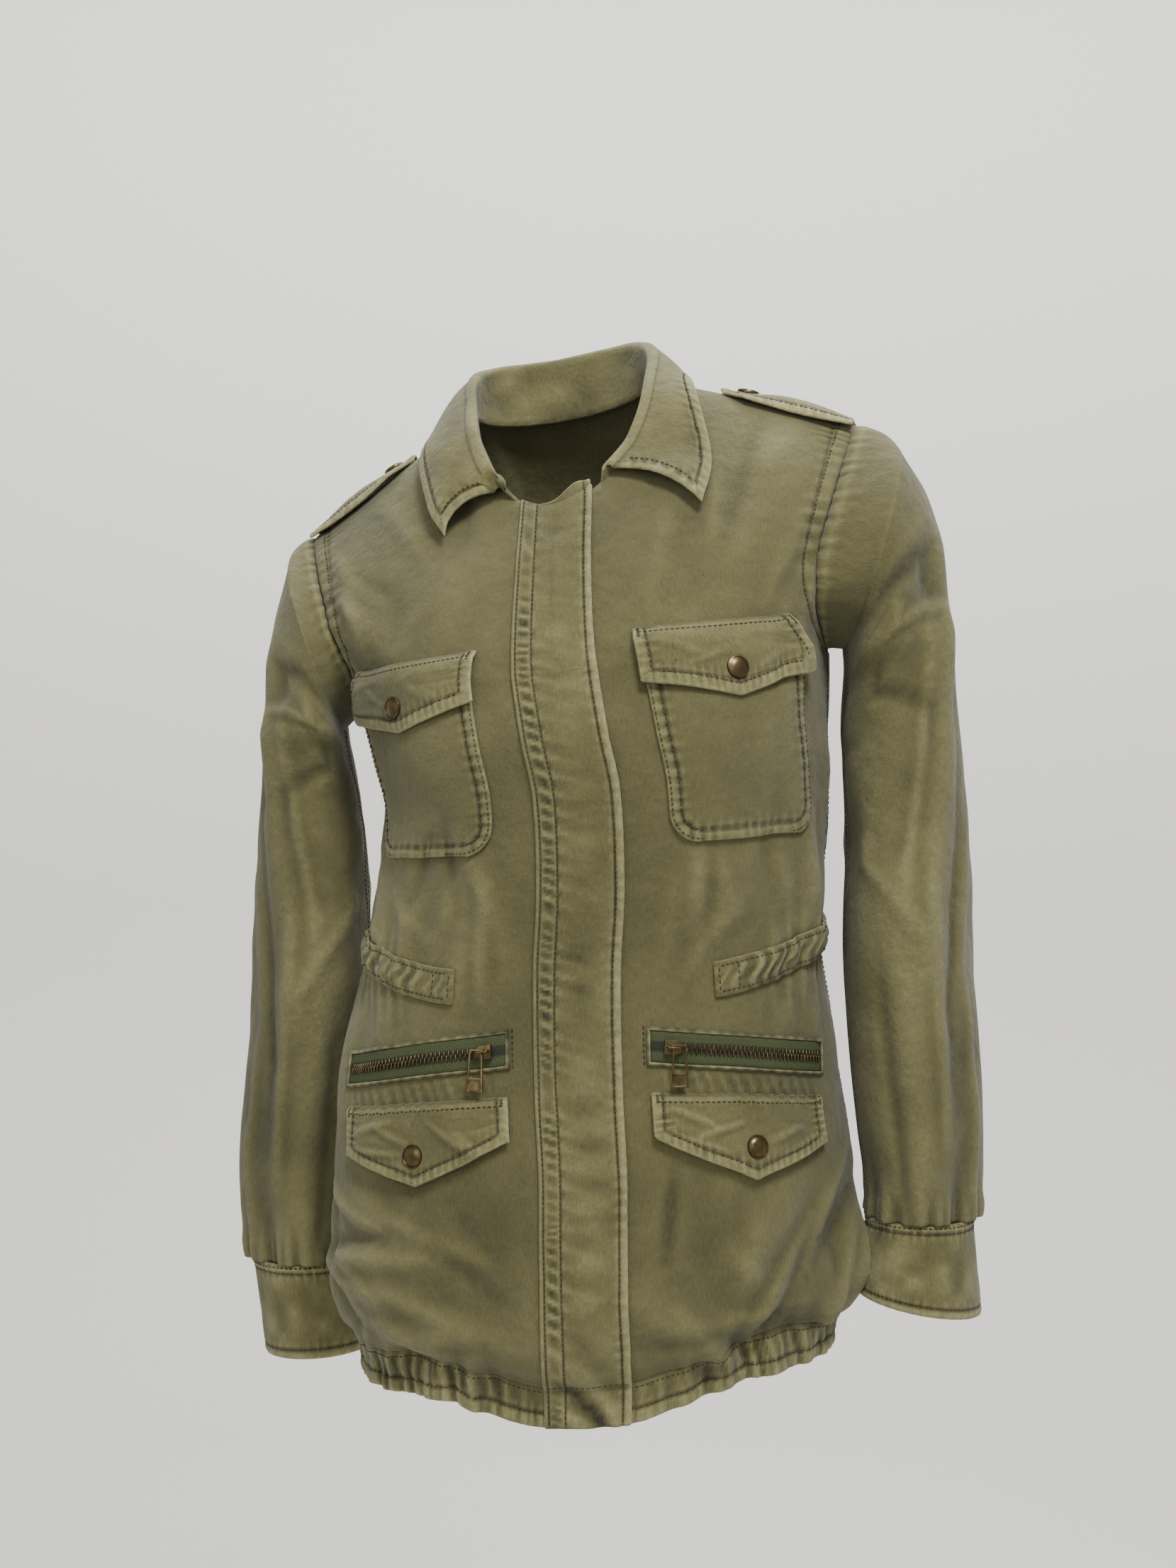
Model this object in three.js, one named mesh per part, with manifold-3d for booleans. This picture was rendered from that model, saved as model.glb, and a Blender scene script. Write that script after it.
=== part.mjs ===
// A worn military jacket in olive cotton, hollow, as its cut holds it over a wearer.
// Millimetres, +Z up, front towards -Y. The origin lies midway between the sides of the neck,
// on the shoulder line, where the wearer carries the jacket.
import * as THREE from "three";
import { mergeVertices } from "three/addons/utils/BufferGeometryUtils.js";
import Module from "manifold-3d";

const wasm = await Module();
wasm.setup();

// Driving sizes
const CLOTH = 1.6; // one layer of cotton twill with its seam allowance
const DOUBLE = 2.4; // collar, cuffs, flaps and straps are two layers
const SEAM_GAP = 0.3; // clear gap between neighbouring pieces
const FRAME_TURN = 6; // degrees that bring the hips square to the front
const ARMPIT = -191; // height of the armholes' lowest point
const HEM_SEAM = -644; // height of the hem band's seam at the centre front
const HEM_EDGE = -671;
const HEM_RISE = 19; // how much higher the hem runs beside the fly flap than under it
const RING_POWER = 2.4; // roundness of the body's sections: 2 is an ellipse
const NECK = { halfWidth: 62, ridgeY: 4, frontDepth: 80, frontDrop: 80, backDepth: 46, backDrop: 4 };
const SHOULDER = { halfWidth: 193, drop: 56 };
const NECK_SHARE = 0.36; // share of a panel's top edge that the neckline takes
const FLAP_HALF = 27; // half the width of the fly flap over the centre front

const OLIVE = { color: 0x77734f, roughness: 0.9, metalness: 0 };
const TAPE_GREEN = { color: 0x47583a, roughness: 0.85, metalness: 0 };
const OLD_BRASS = { color: 0x6d5638, roughness: 0.4, metalness: 0.9 };

const radians = (degrees) => (degrees * Math.PI) / 180;
const mix = (a, b, t) => a + (b - a) * t;
const clamp = (x, low = 0, high = 1) => Math.min(high, Math.max(low, x));
const ease = (t) => clamp(t) ** 2 * (3 - 2 * clamp(t));
const steps = (count, from = 0, to = 1) =>
  Array.from({ length: count + 1 }, (_, i) => mix(from, to, i / count));

// A table with named columns, one row for each section or fold.
const table = (names, rows) =>
  rows.map((row) => Object.fromEntries(names.split(" ").map((name, i) => [name, row[i]])));

// The worn body: how each level is moved, turned and sized. Levels are heights.
const BODY = table("level shiftX shiftY halfWidth front back roll yaw", [
  [60, -25, -12, 150, 100, 80, 9.5, -12],
  [0, -19, -8, 156, 108, 96, 10, -12],
  [-56, -7, 0, 160, 112, 104, 10, -12],
  [-120, -2, -2, 162, 116, 108, 8.5, -12],
  [-191, 3, -3, 161, 120, 108, 6.4, -11.5],
  [-230, 10, -4, 154, 129, 106, 5.6, -11],
  [-267, 15, -4, 149, 127, 103, 4.8, -10],
  [-330, 12, -2, 150, 119, 98, 3.4, -8],
  [-378, 5, 0, 154, 111, 95, 2.2, -6],
  [-450, 0, 0, 168, 116, 110, 2, -3],
  [-513, 2, 0, 174, 122, 119, 2, -2.2],
  [-575, 3, 0, 176, 125, 124, 2.6, -2.5],
  [-610, 4, 0, 177, 125, 124, 3.4, -2.6],
  [-632, 5, 0, 172, 120, 119, 3.8, -2.8],
  [-646, 6, 0, 163, 112, 111, 4, -3],
  [-672, 6, 0, 160, 109, 107, 4, -3],
  [-700, 6, 0, 160, 109, 107, 4, -3],
]);

// Folds on the body. girth runs from the centre front to the wearer's left (+) or right (-),
// measured round the cloth; height stands proud where it is above 0.
const BODY_FOLDS = table("girth1 level1 girth2 level2 width height", [
  [160, -388, 176, -300, 15, 3.4],
  [-156, -388, -176, -300, 15, 3.6],
  [104, -305, 124, -372, 15, 2.6],
  [72, -312, 84, -404, 16, 2],
  [70, -575, 116, -520, 14, -3.2],
  [96, -640, 38, -594, 14, 6],
  [160, -628, 96, -596, 15, -4.5],
  [200, -632, 224, -510, 16, 6],
  [-66, -588, -140, -596, 14, -4.2],
  [-64, -616, -180, -588, 14, 5.5],
  [-214, -634, -236, -520, 17, 5],
  [-120, -548, -200, -575, 16, 4],
  [60, -130, 76, -60, 16, 2.2],
  [112, -150, 120, -84, 17, 2.4],
  [-118, -160, -172, -128, 15, 4],
  [-70, -150, -60, -90, 16, 2],
  [300, -392, 292, -296, 18, 3.4],
  [410, -392, 404, -290, 18, 3.6],
  [-300, -392, -290, -296, 18, 3.4],
  [-412, -392, -404, -300, 18, 3],
  [300, -634, 330, -560, 18, 5],
  [390, -636, 372, -556, 18, -5],
  [450, -634, 440, -548, 18, 5],
  [-310, -634, -330, -560, 18, 5],
  [-392, -636, -380, -556, 18, -5],
  [-446, -634, -430, -560, 18, 5],
  [-268, -240, -300, -170, 16, 4],
  [262, -240, 296, -170, 16, 4],
]);

// The value of every column of a table at a level, on a smooth curve through its rows.
function sectionAt(rows, level, key = "level") {
  const falling = rows[0][key] > rows[rows.length - 1][key];
  const past = rows.findIndex((row) => (falling ? row[key] <= level : row[key] >= level));
  const i = clamp(past < 0 ? rows.length - 2 : past - 1, 0, rows.length - 2);
  const [before, low, high, after] = [-1, 0, 1, 2].map((k) => rows[clamp(i + k, 0, rows.length - 1)]);
  const span = high[key] - low[key];
  const t = clamp((level - low[key]) / span);
  const found = {};
  for (const name of Object.keys(low)) {
    const slopeLow = (high[name] - before[name]) / (high[key] - before[key]);
    const slopeHigh = (after[name] - low[name]) / (after[key] - low[key]);
    found[name] =
      low[name] * (1 + 2 * t) * (1 - t) ** 2 +
      slopeLow * span * t * (1 - t) ** 2 +
      high[name] * t * t * (3 - 2 * t) +
      slopeHigh * span * t * t * (t - 1);
  }
  return found;
}

// A quarter of a body section, from its front or back point to its side, by share of its length.
const QUARTER_STEPS = 24;
function quarter(halfWidth, depth, share) {
  const points = steps(QUARTER_STEPS, 0, Math.PI / 2).map((angle) => [
    halfWidth * Math.sin(angle) ** (2 / RING_POWER),
    depth * Math.max(Math.cos(angle), 0) ** (2 / RING_POWER),
  ]);
  const lengths = [0];
  for (let i = 1; i < points.length; i++)
    lengths.push(
      lengths[i - 1] + Math.hypot(points[i][0] - points[i - 1][0], points[i][1] - points[i - 1][1]),
    );
  const total = lengths[QUARTER_STEPS];
  const wanted = clamp(share) * total;
  const i = clamp(lengths.findIndex((length) => length >= wanted), 1, QUARTER_STEPS);
  const t = (wanted - lengths[i - 1]) / (lengths[i] - lengths[i - 1]);
  return {
    x: mix(points[i - 1][0], points[i][0], t),
    y: mix(points[i - 1][1], points[i][1], t),
    total,
  };
}

// How far the hem is drawn up above its level: round is 0 at centre front, 1 at the side, 2 behind.
const hemRise = (round) => HEM_RISE * ease((round - 0.08) / 0.42) - 3 * ease(round - 1);

// Share of the quarter section that is left beside the armhole, by height above the armpit.
const armholeShare = (rise) => 0.72 + 0.28 * (1 - rise) ** 6;

// The top edge of a front or back panel: neckline, then shoulder seam, in the upright jacket.
function topEdge(share, isBack) {
  if (share < NECK_SHARE) {
    const angle = radians((90 * share) / NECK_SHARE);
    const depth = isBack ? NECK.backDepth : -NECK.frontDepth;
    const drop = isBack ? NECK.backDrop : NECK.frontDrop;
    return {
      x: NECK.halfWidth * Math.sin(angle),
      y: NECK.ridgeY + depth * Math.cos(angle),
      z: -drop * Math.cos(angle) ** 1.3,
    };
  }
  const t = (share - NECK_SHARE) / (1 - NECK_SHARE);
  return { x: mix(NECK.halfWidth, SHOULDER.halfWidth, t), y: NECK.ridgeY, z: -SHOULDER.drop * t ** 1.1 };
}

// Curvature of the columns above the armpit: 1 is straight, 2 is a quarter circle.
const columnPower = (share, isBack) => (isBack ? 1.9 : mix(1.15, 1.7, share));

// A point of the upright jacket. side is +1 for the wearer's left; round is 0 at centre front,
// 1 at the side seam and 2 at centre back; up is mm below the armpit where it is under 0,
// and the share of the way to the neckline or shoulder seam where it is above.
function upright(side, round, up) {
  const isBack = round > 1;
  const share = isBack ? 2 - round : round;
  const section = sectionAt(BODY, ARMPIT + Math.min(up, 0));
  const depth = isBack ? section.back : section.front;
  const sign = isBack ? 1 : -1;
  if (up <= 0) {
    const edge = quarter(section.halfWidth, depth, share);
    const drawn = hemRise(round) * Math.min(up / (HEM_SEAM - ARMPIT), 1) ** 3;
    return new THREE.Vector3(side * edge.x, sign * edge.y, ARMPIT + up + drawn);
  }
  const power = columnPower(share, isBack);
  const angle = radians(90 * Math.min(up, 1));
  const rise = Math.sin(angle) ** (2 / power);
  const fall = Math.max(Math.cos(angle), 0) ** (2 / power);
  const base = quarter(section.halfWidth, depth, share * armholeShare(rise));
  const top = topEdge(share, isBack);
  return new THREE.Vector3(
    side * mix(base.x, top.x, rise),
    top.y + (sign * base.y - top.y) * fall,
    mix(ARMPIT, top.z, rise),
  );
}

// Turns the front square, about the neck.
function place(point) {
  return point.applyAxisAngle(new THREE.Vector3(0, 0, 1), radians(FRAME_TURN));
}

// The stance of the wearer: each level is turned, tipped and moved.
function pose(point) {
  const { shiftX, shiftY, roll, yaw } = sectionAt(BODY, point.z);
  const z = point.z;
  const turned = new THREE.Vector3(point.x, point.y, 0).applyAxisAngle(
    new THREE.Vector3(0, 0, 1),
    radians(yaw),
  );
  return place(
    new THREE.Vector3(
      shiftX + turned.x * Math.cos(radians(roll)),
      shiftY + turned.y,
      z + turned.x * Math.sin(radians(roll)),
    ),
  );
}

// Girth coordinate of a place on the body, in mm round the cloth from the centre front.
function girthOf(side, round, up) {
  const section = sectionAt(BODY, ARMPIT + Math.min(up, 0));
  const share = Math.min(round, 1);
  const narrowing = up > 0 ? armholeShare(Math.sin(radians(90 * up)) ** 1.3) : 1;
  const front = share * quarter(section.halfWidth, section.front, 1).total * narrowing;
  const back = Math.max(round - 1, 0) * quarter(section.halfWidth, section.back, 1).total;
  return side * (front + back);
}

// Small ripples where an elastic or a drawstring gathers the cloth, spaced unevenly.
const ripple = (girth, pitch) =>
  Math.sin((girth / pitch) * 2 * Math.PI + 1.3 * Math.sin(girth / 31) + 0.8 * Math.sin(girth / 13));

const HEM_GATHER = { pitch: 27, height: 2.2, reach: 26, clearFront: 46 };

function foldHeight(girth, level) {
  let height = 0;
  for (const fold of BODY_FOLDS) {
    const [dx, dz] = [fold.girth2 - fold.girth1, fold.level2 - fold.level1];
    const length = Math.hypot(dx, dz);
    const along = ((girth - fold.girth1) * dx + (level - fold.level1) * dz) / length ** 2;
    const off = ((girth - fold.girth1) * dz - (level - fold.level1) * dx) / length;
    const beyond = Math.max(0, -along, along - 1) * length;
    height += fold.height * Math.exp(-((off / fold.width) ** 2) - (beyond / (1.2 * fold.width)) ** 2);
  }
  const clear = ease((Math.abs(girth) - HEM_GATHER.clearFront) / 30);
  const near = Math.exp(-(((level - HEM_SEAM) / HEM_GATHER.reach) ** 2));
  return height + clear * near * HEM_GATHER.height * ripple(girth, HEM_GATHER.pitch);
}

// Outward direction of a surface given as a function of round and up.
const OUT_STEP = { round: 0.004, up: 1.5, upShare: 0.008 };
function outward(surface, side, round, up) {
  const stepUp = up > 0 ? OUT_STEP.upShare : OUT_STEP.up;
  const low = Math.min(up, 0.97) - (up > 0 ? stepUp : stepUp);
  const across = surface(side, Math.min(round + OUT_STEP.round, 2), up).sub(
    surface(side, Math.max(round - OUT_STEP.round, 0), up),
  );
  const rising = surface(side, round, up > 0 ? Math.min(up, 0.97) : up).sub(
    surface(side, round, up > 0 ? Math.max(low, 0) : low),
  );
  return across.cross(rising).multiplyScalar(side).normalize();
}

const posed = (side, round, up) => pose(upright(side, round, up));

// The outside of the body cloth, folds and all.
function bodyCloth(side, round, up) {
  const girth = girthOf(side, round, up);
  const level = upright(side, round, up).z;
  const fading = 1 - Math.max(up, 0) ** 6; // folds die out at the neckline and the shoulder seam
  return posed(side, round, up).addScaledVector(
    outward(posed, side, round, up),
    fading * foldHeight(girth, level),
  );
}

// The body cloth at a girth and a height, lifted off it by a gap.
function onBody(girth, level, lift = 0) {
  const side = girth < 0 ? -1 : 1;
  let up = Math.min(level - ARMPIT, 0);
  let round = 0;
  if (level > ARMPIT) {
    let rise = 0;
    for (let pass = 0; pass < 3; pass++) {
      const width = mix(
        armholeShare(rise) * quarter(BODY[4].halfWidth, BODY[4].front, 1).total,
        NECKLINE_SPREAD,
        rise,
      );
      round = Math.abs(girth) / width;
      rise = clamp((level - ARMPIT) / (topEdge(round, false).z - ARMPIT));
    }
    up = Math.asin(clamp(rise ** (columnPower(round, false) / 2))) / (Math.PI / 2);
  } else {
    const section = sectionAt(BODY, level);
    const front = quarter(section.halfWidth, section.front, 1).total;
    const back = quarter(section.halfWidth, section.back, 1).total;
    const distance = Math.abs(girth);
    round = distance < front ? distance / front : 1 + (distance - front) / back;
  }
  const point = bodyCloth(side, round, up);
  return lift ? point.addScaledVector(outward(bodyCloth, side, round, up), lift) : point;
}
const NECKLINE_SPREAD = 300; // girth that a whole panel's width would have at the neckline's scale

// Meshes

function meshOf(name, geometry, finish) {
  geometry.computeVertexNormals();
  const mesh = new THREE.Mesh(geometry, new THREE.MeshStandardMaterial(finish));
  mesh.name = name;
  return mesh;
}

function geometryOf(points, triangles) {
  const geometry = new THREE.BufferGeometry();
  geometry.setAttribute(
    "position",
    new THREE.Float32BufferAttribute(points.flatMap((p) => [p.x, p.y, p.z]), 3),
  );
  geometry.setIndex(triangles.flat());
  return geometry;
}

// Directions out of a grid whose columns run to the right and rows upwards, seen from outside.
function gridNormals(grid, closed) {
  const rows = grid.length;
  const cols = grid[0].length;
  return grid.map((line, r) =>
    line.map((_, c) => {
      const left = closed ? (c + cols - 1) % cols : Math.max(c - 1, 0);
      const right = closed ? (c + 1) % cols : Math.min(c + 1, cols - 1);
      const across = line[right].clone().sub(line[left]);
      const rising = grid[Math.min(r + 1, rows - 1)][c].clone().sub(grid[Math.max(r - 1, 0)][c]);
      return across.cross(rising).normalize();
    }),
  );
}

// A cloth wall: the grid is its outside, the inside lies its thickness within.
function clothWall(name, grid, thickness = CLOTH, { closed = false, finish = OLIVE } = {}) {
  const rows = grid.length;
  const cols = grid[0].length;
  const normals = gridNormals(grid, closed);
  const inside = grid.map((line, r) =>
    line.map((p, c) => p.clone().addScaledVector(normals[r][c], -thickness)),
  );
  const points = [...grid.flat(), ...inside.flat()];
  const outer = (r, c) => r * cols + (c % cols);
  const inner = (r, c) => rows * cols + outer(r, c);
  const triangles = [];
  const quad = (a, b, c, d) => triangles.push([a, b, c], [a, c, d]);
  const across = closed ? cols : cols - 1;
  for (let r = 0; r < rows - 1; r++) {
    for (let c = 0; c < across; c++) {
      quad(outer(r, c), outer(r, c + 1), outer(r + 1, c + 1), outer(r + 1, c));
      quad(inner(r, c), inner(r + 1, c), inner(r + 1, c + 1), inner(r, c + 1));
    }
    if (closed) continue;
    quad(inner(r, 0), outer(r, 0), outer(r + 1, 0), inner(r + 1, 0));
    quad(outer(r, cols - 1), inner(r, cols - 1), inner(r + 1, cols - 1), outer(r + 1, cols - 1));
  }
  for (let c = 0; c < across; c++) {
    quad(inner(0, c), inner(0, c + 1), outer(0, c + 1), outer(0, c));
    quad(outer(rows - 1, c), outer(rows - 1, c + 1), inner(rows - 1, c + 1), inner(rows - 1, c));
  }
  return meshOf(name, geometryOf(points, triangles), finish);
}

// A closed solid through sections; the sections close on themselves, and so does the whole if looped.
function sectionSolid(name, sections, { looped = false, finish = OLIVE } = {}) {
  const count = sections[0].length;
  const points = sections.flat();
  const triangles = [];
  const at = (s, k) => (s % sections.length) * count + (k % count);
  for (let s = 0; s < (looped ? sections.length : sections.length - 1); s++)
    for (let k = 0; k < count; k++)
      triangles.push(
        [at(s, k), at(s, k + 1), at(s + 1, k + 1)],
        [at(s, k), at(s + 1, k + 1), at(s + 1, k)],
      );
  if (!looped)
    for (let k = 1; k < count - 1; k++)
      triangles.push(
        [at(0, 0), at(0, k + 1), at(0, k)],
        [at(sections.length - 1, 0), at(sections.length - 1, k), at(sections.length - 1, k + 1)],
      );
  return meshOf(name, geometryOf(points, triangles), finish);
}

function toManifold(geometry) {
  const bare = geometry.clone();
  bare.deleteAttribute("normal");
  bare.deleteAttribute("uv");
  const merged = mergeVertices(bare, 1e-4);
  return new wasm.Manifold(
    new wasm.Mesh({
      numProp: 3,
      vertProperties: new Float32Array(merged.attributes.position.array),
      triVerts: new Uint32Array(merged.index.array),
    }),
  );
}

function fromManifold(solid) {
  const { vertProperties, triVerts } = solid.getMesh();
  const geometry = new THREE.BufferGeometry();
  geometry.setAttribute("position", new THREE.BufferAttribute(new Float32Array(vertProperties), 3));
  geometry.setIndex([...triVerts]);
  return geometry;
}

// Body panels

const BODY_ROWS = [
  -453, -445, -430, -408, -384, -360, -335, -310, -284, -260, -238, -219, -203, -190, -177, -156, -130,
  -104, -78, -52, -26, -7,
];
const YOKE_ROWS = [0.1, 0.25, 0.41, 0.57, 0.72, 0.85, 0.94, 0.994];
const panelRows = [...BODY_ROWS, ...YOKE_ROWS];
const SIDE_TRIM = 0.0012; // share of a quarter girth that parts the panels at the side seam

function panel(name, spans, columns) {
  const grid = panelRows.map((up) =>
    columns.map((c) => {
      const [side, round] = spans(c);
      return bodyCloth(side, round, up);
    }),
  );
  return clothWall(name, grid);
}

const FRONT_EDGE = 0.004; // share of a quarter girth between the centre front and a front's edge
const FRONT_COLUMNS = 12;
const BACK_COLUMNS = 16;

function frontPanel(side) {
  const rounds = steps(FRONT_COLUMNS, FRONT_EDGE, 1 - SIDE_TRIM);
  const ordered = side > 0 ? rounds : [...rounds].reverse();
  return panel(`front_${side > 0 ? "left" : "right"}`, (round) => [side, round], ordered);
}

function backPanel() {
  const across = steps(BACK_COLUMNS, -1 + SIDE_TRIM, 1 - SIDE_TRIM);
  return panel("back", (x) => [x < 0 ? 1 : -1, 2 - Math.abs(x)], across);
}

// Bands round the body

function hemBand() {
  const around = steps(60, 0.012, 3.988);
  const rows = [0, 0.5, 1];
  const grid = rows.map((t) =>
    around.map((x) => {
      const side = x < 2 ? 1 : -1;
      const round = x < 2 ? x : 4 - x;
      const up = mix(HEM_EDGE, HEM_SEAM - 1.2, t) - ARMPIT;
      const girth = girthOf(side, round, up);
      const clear = ease((Math.abs(girth) - HEM_GATHER.clearFront) / 30);
      const gather = clear * (1.1 + 0.9 * (1 - t)) * ripple(girth, 19);
      return bodyCloth(side, round, up).addScaledVector(outward(posed, side, round, up), gather);
    }),
  );
  return clothWall("hem_band", grid, DOUBLE);
}

// The waist casing runs round the back from front to front. Its line rises towards the sides, and
// its elastic puckers it. round is as in upright().
const CASING = {
  rightEnd: 0.365, leftEnd: 0.4, half: 11, endLevel: -392, sideLevel: -370, backLevel: -366, lift: 1.2, stations: 50,
};
function casingLevel(round) {
  const toSide = mix(CASING.endLevel, CASING.sideLevel, ease((round - CASING.rightEnd) / 0.55));
  return mix(toSide, CASING.backLevel, ease(round - 0.9));
}

function waistCasing() {
  const grid = steps(2).map((t) =>
    steps(CASING.stations, CASING.leftEnd, 4 - CASING.rightEnd).map((x) => {
      const side = x < 2 ? 1 : -1;
      const round = x < 2 ? x : 4 - x;
      const up = casingLevel(round) + CASING.half * (2 * t - 1) - ARMPIT;
      const free = ease((round - CASING.leftEnd - 0.07) / 0.08);
      const pucker = free * Math.sin(Math.PI * t) * (1.6 + 1.2 * ripple(girthOf(side, round, up), 22));
      return bodyCloth(side, round, up).addScaledVector(
        outward(bodyCloth, side, round, up),
        CASING.lift + CLOTH + pucker,
      );
    }),
  );
  return clothWall("waist_casing", grid, CLOTH);
}

const FLY_TOP = 0.99; // share of the way up to the neckline
const FLY_PEAK = { girth: 14, height: 7 };
function flyFlap() {
  const ups = [HEM_EDGE - ARMPIT + 0.5, -466, ...BODY_ROWS.slice(1), ...YOKE_ROWS.slice(0, -1), FLY_TOP];
  const grid = ups.map((up) =>
    steps(4, -FLAP_HALF, FLAP_HALF).map((girth) => {
      const side = girth < 0 ? -1 : 1;
      const round = Math.abs(girth) / flapScale(up);
      const wave = 0.5 * Math.sin(up / 11) + 0.4 * Math.sin(up / 17 + 1);
      const edge = ease((girth + FLAP_HALF) / (2 * FLAP_HALF));
      const lift = SEAM_GAP + DOUBLE + 0.6 + (up < 0 ? edge * wave : 0) + 1.2 * edge;
      const point = bodyCloth(side, round, up).addScaledVector(outward(bodyCloth, side, round, up), lift);
      if (up === FLY_TOP) point.z += FLY_PEAK.height * Math.exp(-(((girth - FLY_PEAK.girth) / 12) ** 2));
      return point;
    }),
  );
  return clothWall("fly_flap", grid, DOUBLE);
}

// Girth of a whole quarter at a height, at the scale that holds near the centre front.
function flapScale(up) {
  const section = sectionAt(BODY, ARMPIT + Math.min(up, 0));
  const quarterGirth = quarter(section.halfWidth, section.front, 1).total;
  if (up <= 0) return quarterGirth;
  const rise = Math.sin(radians(90 * up)) ** (2 / columnPower(0.1, false));
  return mix(armholeShare(rise) * quarterGirth, NECKLINE_SPREAD, rise);
}

// Collar: one folded piece, in the upright jacket. Its stand rises from the neckline to the crown,
// and its fall drops from there to the edge. turn is -1 at the wearer's right end, 0 behind and
// 1 at the left end.
const COLLAR = table("turn crownX crownY crownZ edgeX edgeY edgeZ belly", [
  [-1, -38, -72, -58, -77, -82, -84, 16],
  [-0.9, -46, -72, -42, -88, -72, -66, 11],
  [-0.78, -53, -54, -18, -97, -46, -37, 9],
  [-0.64, -57, -22, 8, -99, -16, -17, 8],
  [-0.5, -62, 10, 30, -92, 14, -8, 9],
  [-0.34, -56, 40, 38, -78, 48, -10, 6],
  [-0.17, -32, 58, 40, -44, 74, -10, 4],
  [0, 0, 64, 40, 0, 81, -9, 4],
  [0.17, 32, 58, 39, 44, 74, -10, 4],
  [0.34, 55, 38, 34, 76, 50, -10, 4],
  [0.5, 66, 8, 20, 89, 12, -6, 5],
  [0.64, 66, -20, 0, 95, -20, -14, 5],
  [0.78, 61, -44, -22, 99, -44, -40, 6],
  [0.9, 49, -60, -44, 102, -64, -70, 8],
  [1, 35, -70, -58, 97, -84, -94, 12],
]);
const COLLAR_END = 0.3; // share of the front neckline left bare beside the centre front
const COLLAR_BACK = 0.42; // share of half the collar that lies behind the shoulder seam
const COLLAR_STATIONS = 28;
const ROLL = 4.5; // radius of the fold at the crown
const COLLAR_LIFT = 3; // how far its seam stands above the panels' edge

function necklineAt(turn) {
  const reach = Math.abs(turn);
  const ahead = (reach - COLLAR_BACK) / (1 - COLLAR_BACK);
  const isBack = reach < COLLAR_BACK;
  const share = isBack ? (NECK_SHARE * reach) / COLLAR_BACK : NECK_SHARE * (1 - ahead * (1 - COLLAR_END));
  const edge = topEdge(share, isBack);
  return new THREE.Vector3(Math.sign(turn) * edge.x, edge.y, edge.z + COLLAR_LIFT);
}

// A quadratic curve.
const bend = (from, through, to, t) =>
  from
    .clone()
    .multiplyScalar((1 - t) ** 2)
    .addScaledVector(through, 2 * t * (1 - t))
    .addScaledVector(to, t * t);

// One section of the collar, from its seam over the crown down to its edge.
function collarSection(turn) {
  const row = sectionAt(COLLAR, turn, "turn");
  const seam = necklineAt(turn);
  const crown = new THREE.Vector3(row.crownX, row.crownY, row.crownZ);
  const edge = new THREE.Vector3(row.edgeX, row.edgeY, row.edgeZ);
  const out = edge.clone().sub(crown).setZ(0).normalize();
  const roll = Math.min(ROLL, 0.45 * crown.distanceTo(seam));
  const rolled = [160, 90, 20].map((angle) =>
    crown
      .clone()
      .addScaledVector(out, roll * Math.cos(radians(angle)))
      .add(new THREE.Vector3(0, 0, roll * (Math.sin(radians(angle)) - 1))),
  );
  const middle = rolled[2].clone().lerp(edge, 0.4).addScaledVector(out, row.belly);
  middle.z += row.belly * 0.7;
  return [
    seam,
    seam.clone().lerp(rolled[0], 0.55),
    ...rolled,
    ...[0.25, 0.5, 0.75, 1].map((t) => bend(rolled[2], middle, edge, t)),
  ];
}

function collar() {
  const sections = steps(COLLAR_STATIONS, -1, 1).map((turn) => collarSection(turn).map(pose));
  const grid = sections[0].map((_, row) => sections.map((section) => section[row]));
  return clothWall("collar", grid, DOUBLE);
}

// Sleeves and cuffs

// Each section of a worn sleeve: its outer and inner points seen from the front, its depth
// behind the neck and its half-depth, before the front is turned square.
const LEFT_SLEEVE = table("outerX outerZ innerX innerZ centreY halfDepth", [
  [207, -40, 172, -173, -38, 67],
  [227, -74, 173, -197, -35, 64],
  [239, -118, 171, -224, -32, 58],
  [246, -170, 172, -254, -30, 56],
  [251, -226, 174, -288, -28, 54],
  [255, -282, 174, -320, -27, 53],
  [258, -337, 173, -352, -27, 52],
  [260, -390, 173, -394, -28, 50],
  [262, -442, 176, -442, -30, 48],
  [261, -490, 181, -490, -32, 46],
  [259, -530, 186, -530, -35, 42],
  [258, -551, 187, -551, -36, 38],
]);
const RIGHT_SLEEVE = table("outerX outerZ innerX innerZ centreY halfDepth", [
  [-210, -111, -171, -224, 36, 67],
  [-220, -150, -168, -246, 40, 64],
  [-227, -190, -164, -266, 45, 60],
  [-232, -236, -160, -294, 52, 56],
  [-236, -286, -158, -324, 58, 54],
  [-238, -334, -157, -354, 64, 53],
  [-241, -386, -158, -394, 70, 52],
  [-245, -440, -160, -442, 76, 50],
  [-249, -491, -162, -491, 81, 47],
  [-250, -537, -164, -537, 84, 44],
  [-247, -580, -168, -580, 86, 41],
  [-244, -606, -168, -606, 86, 38],
]);
const SLEEVES = {
  left: { side: 1, sections: LEFT_SLEEVE, cuffOuter: [262, -615], cuffInner: [181, -603], cuffY: -40 },
  right: { side: -1, sections: RIGHT_SLEEVE, cuffOuter: [-234, -674], cuffInner: [-154, -668], cuffY: 84 },
};
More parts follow.
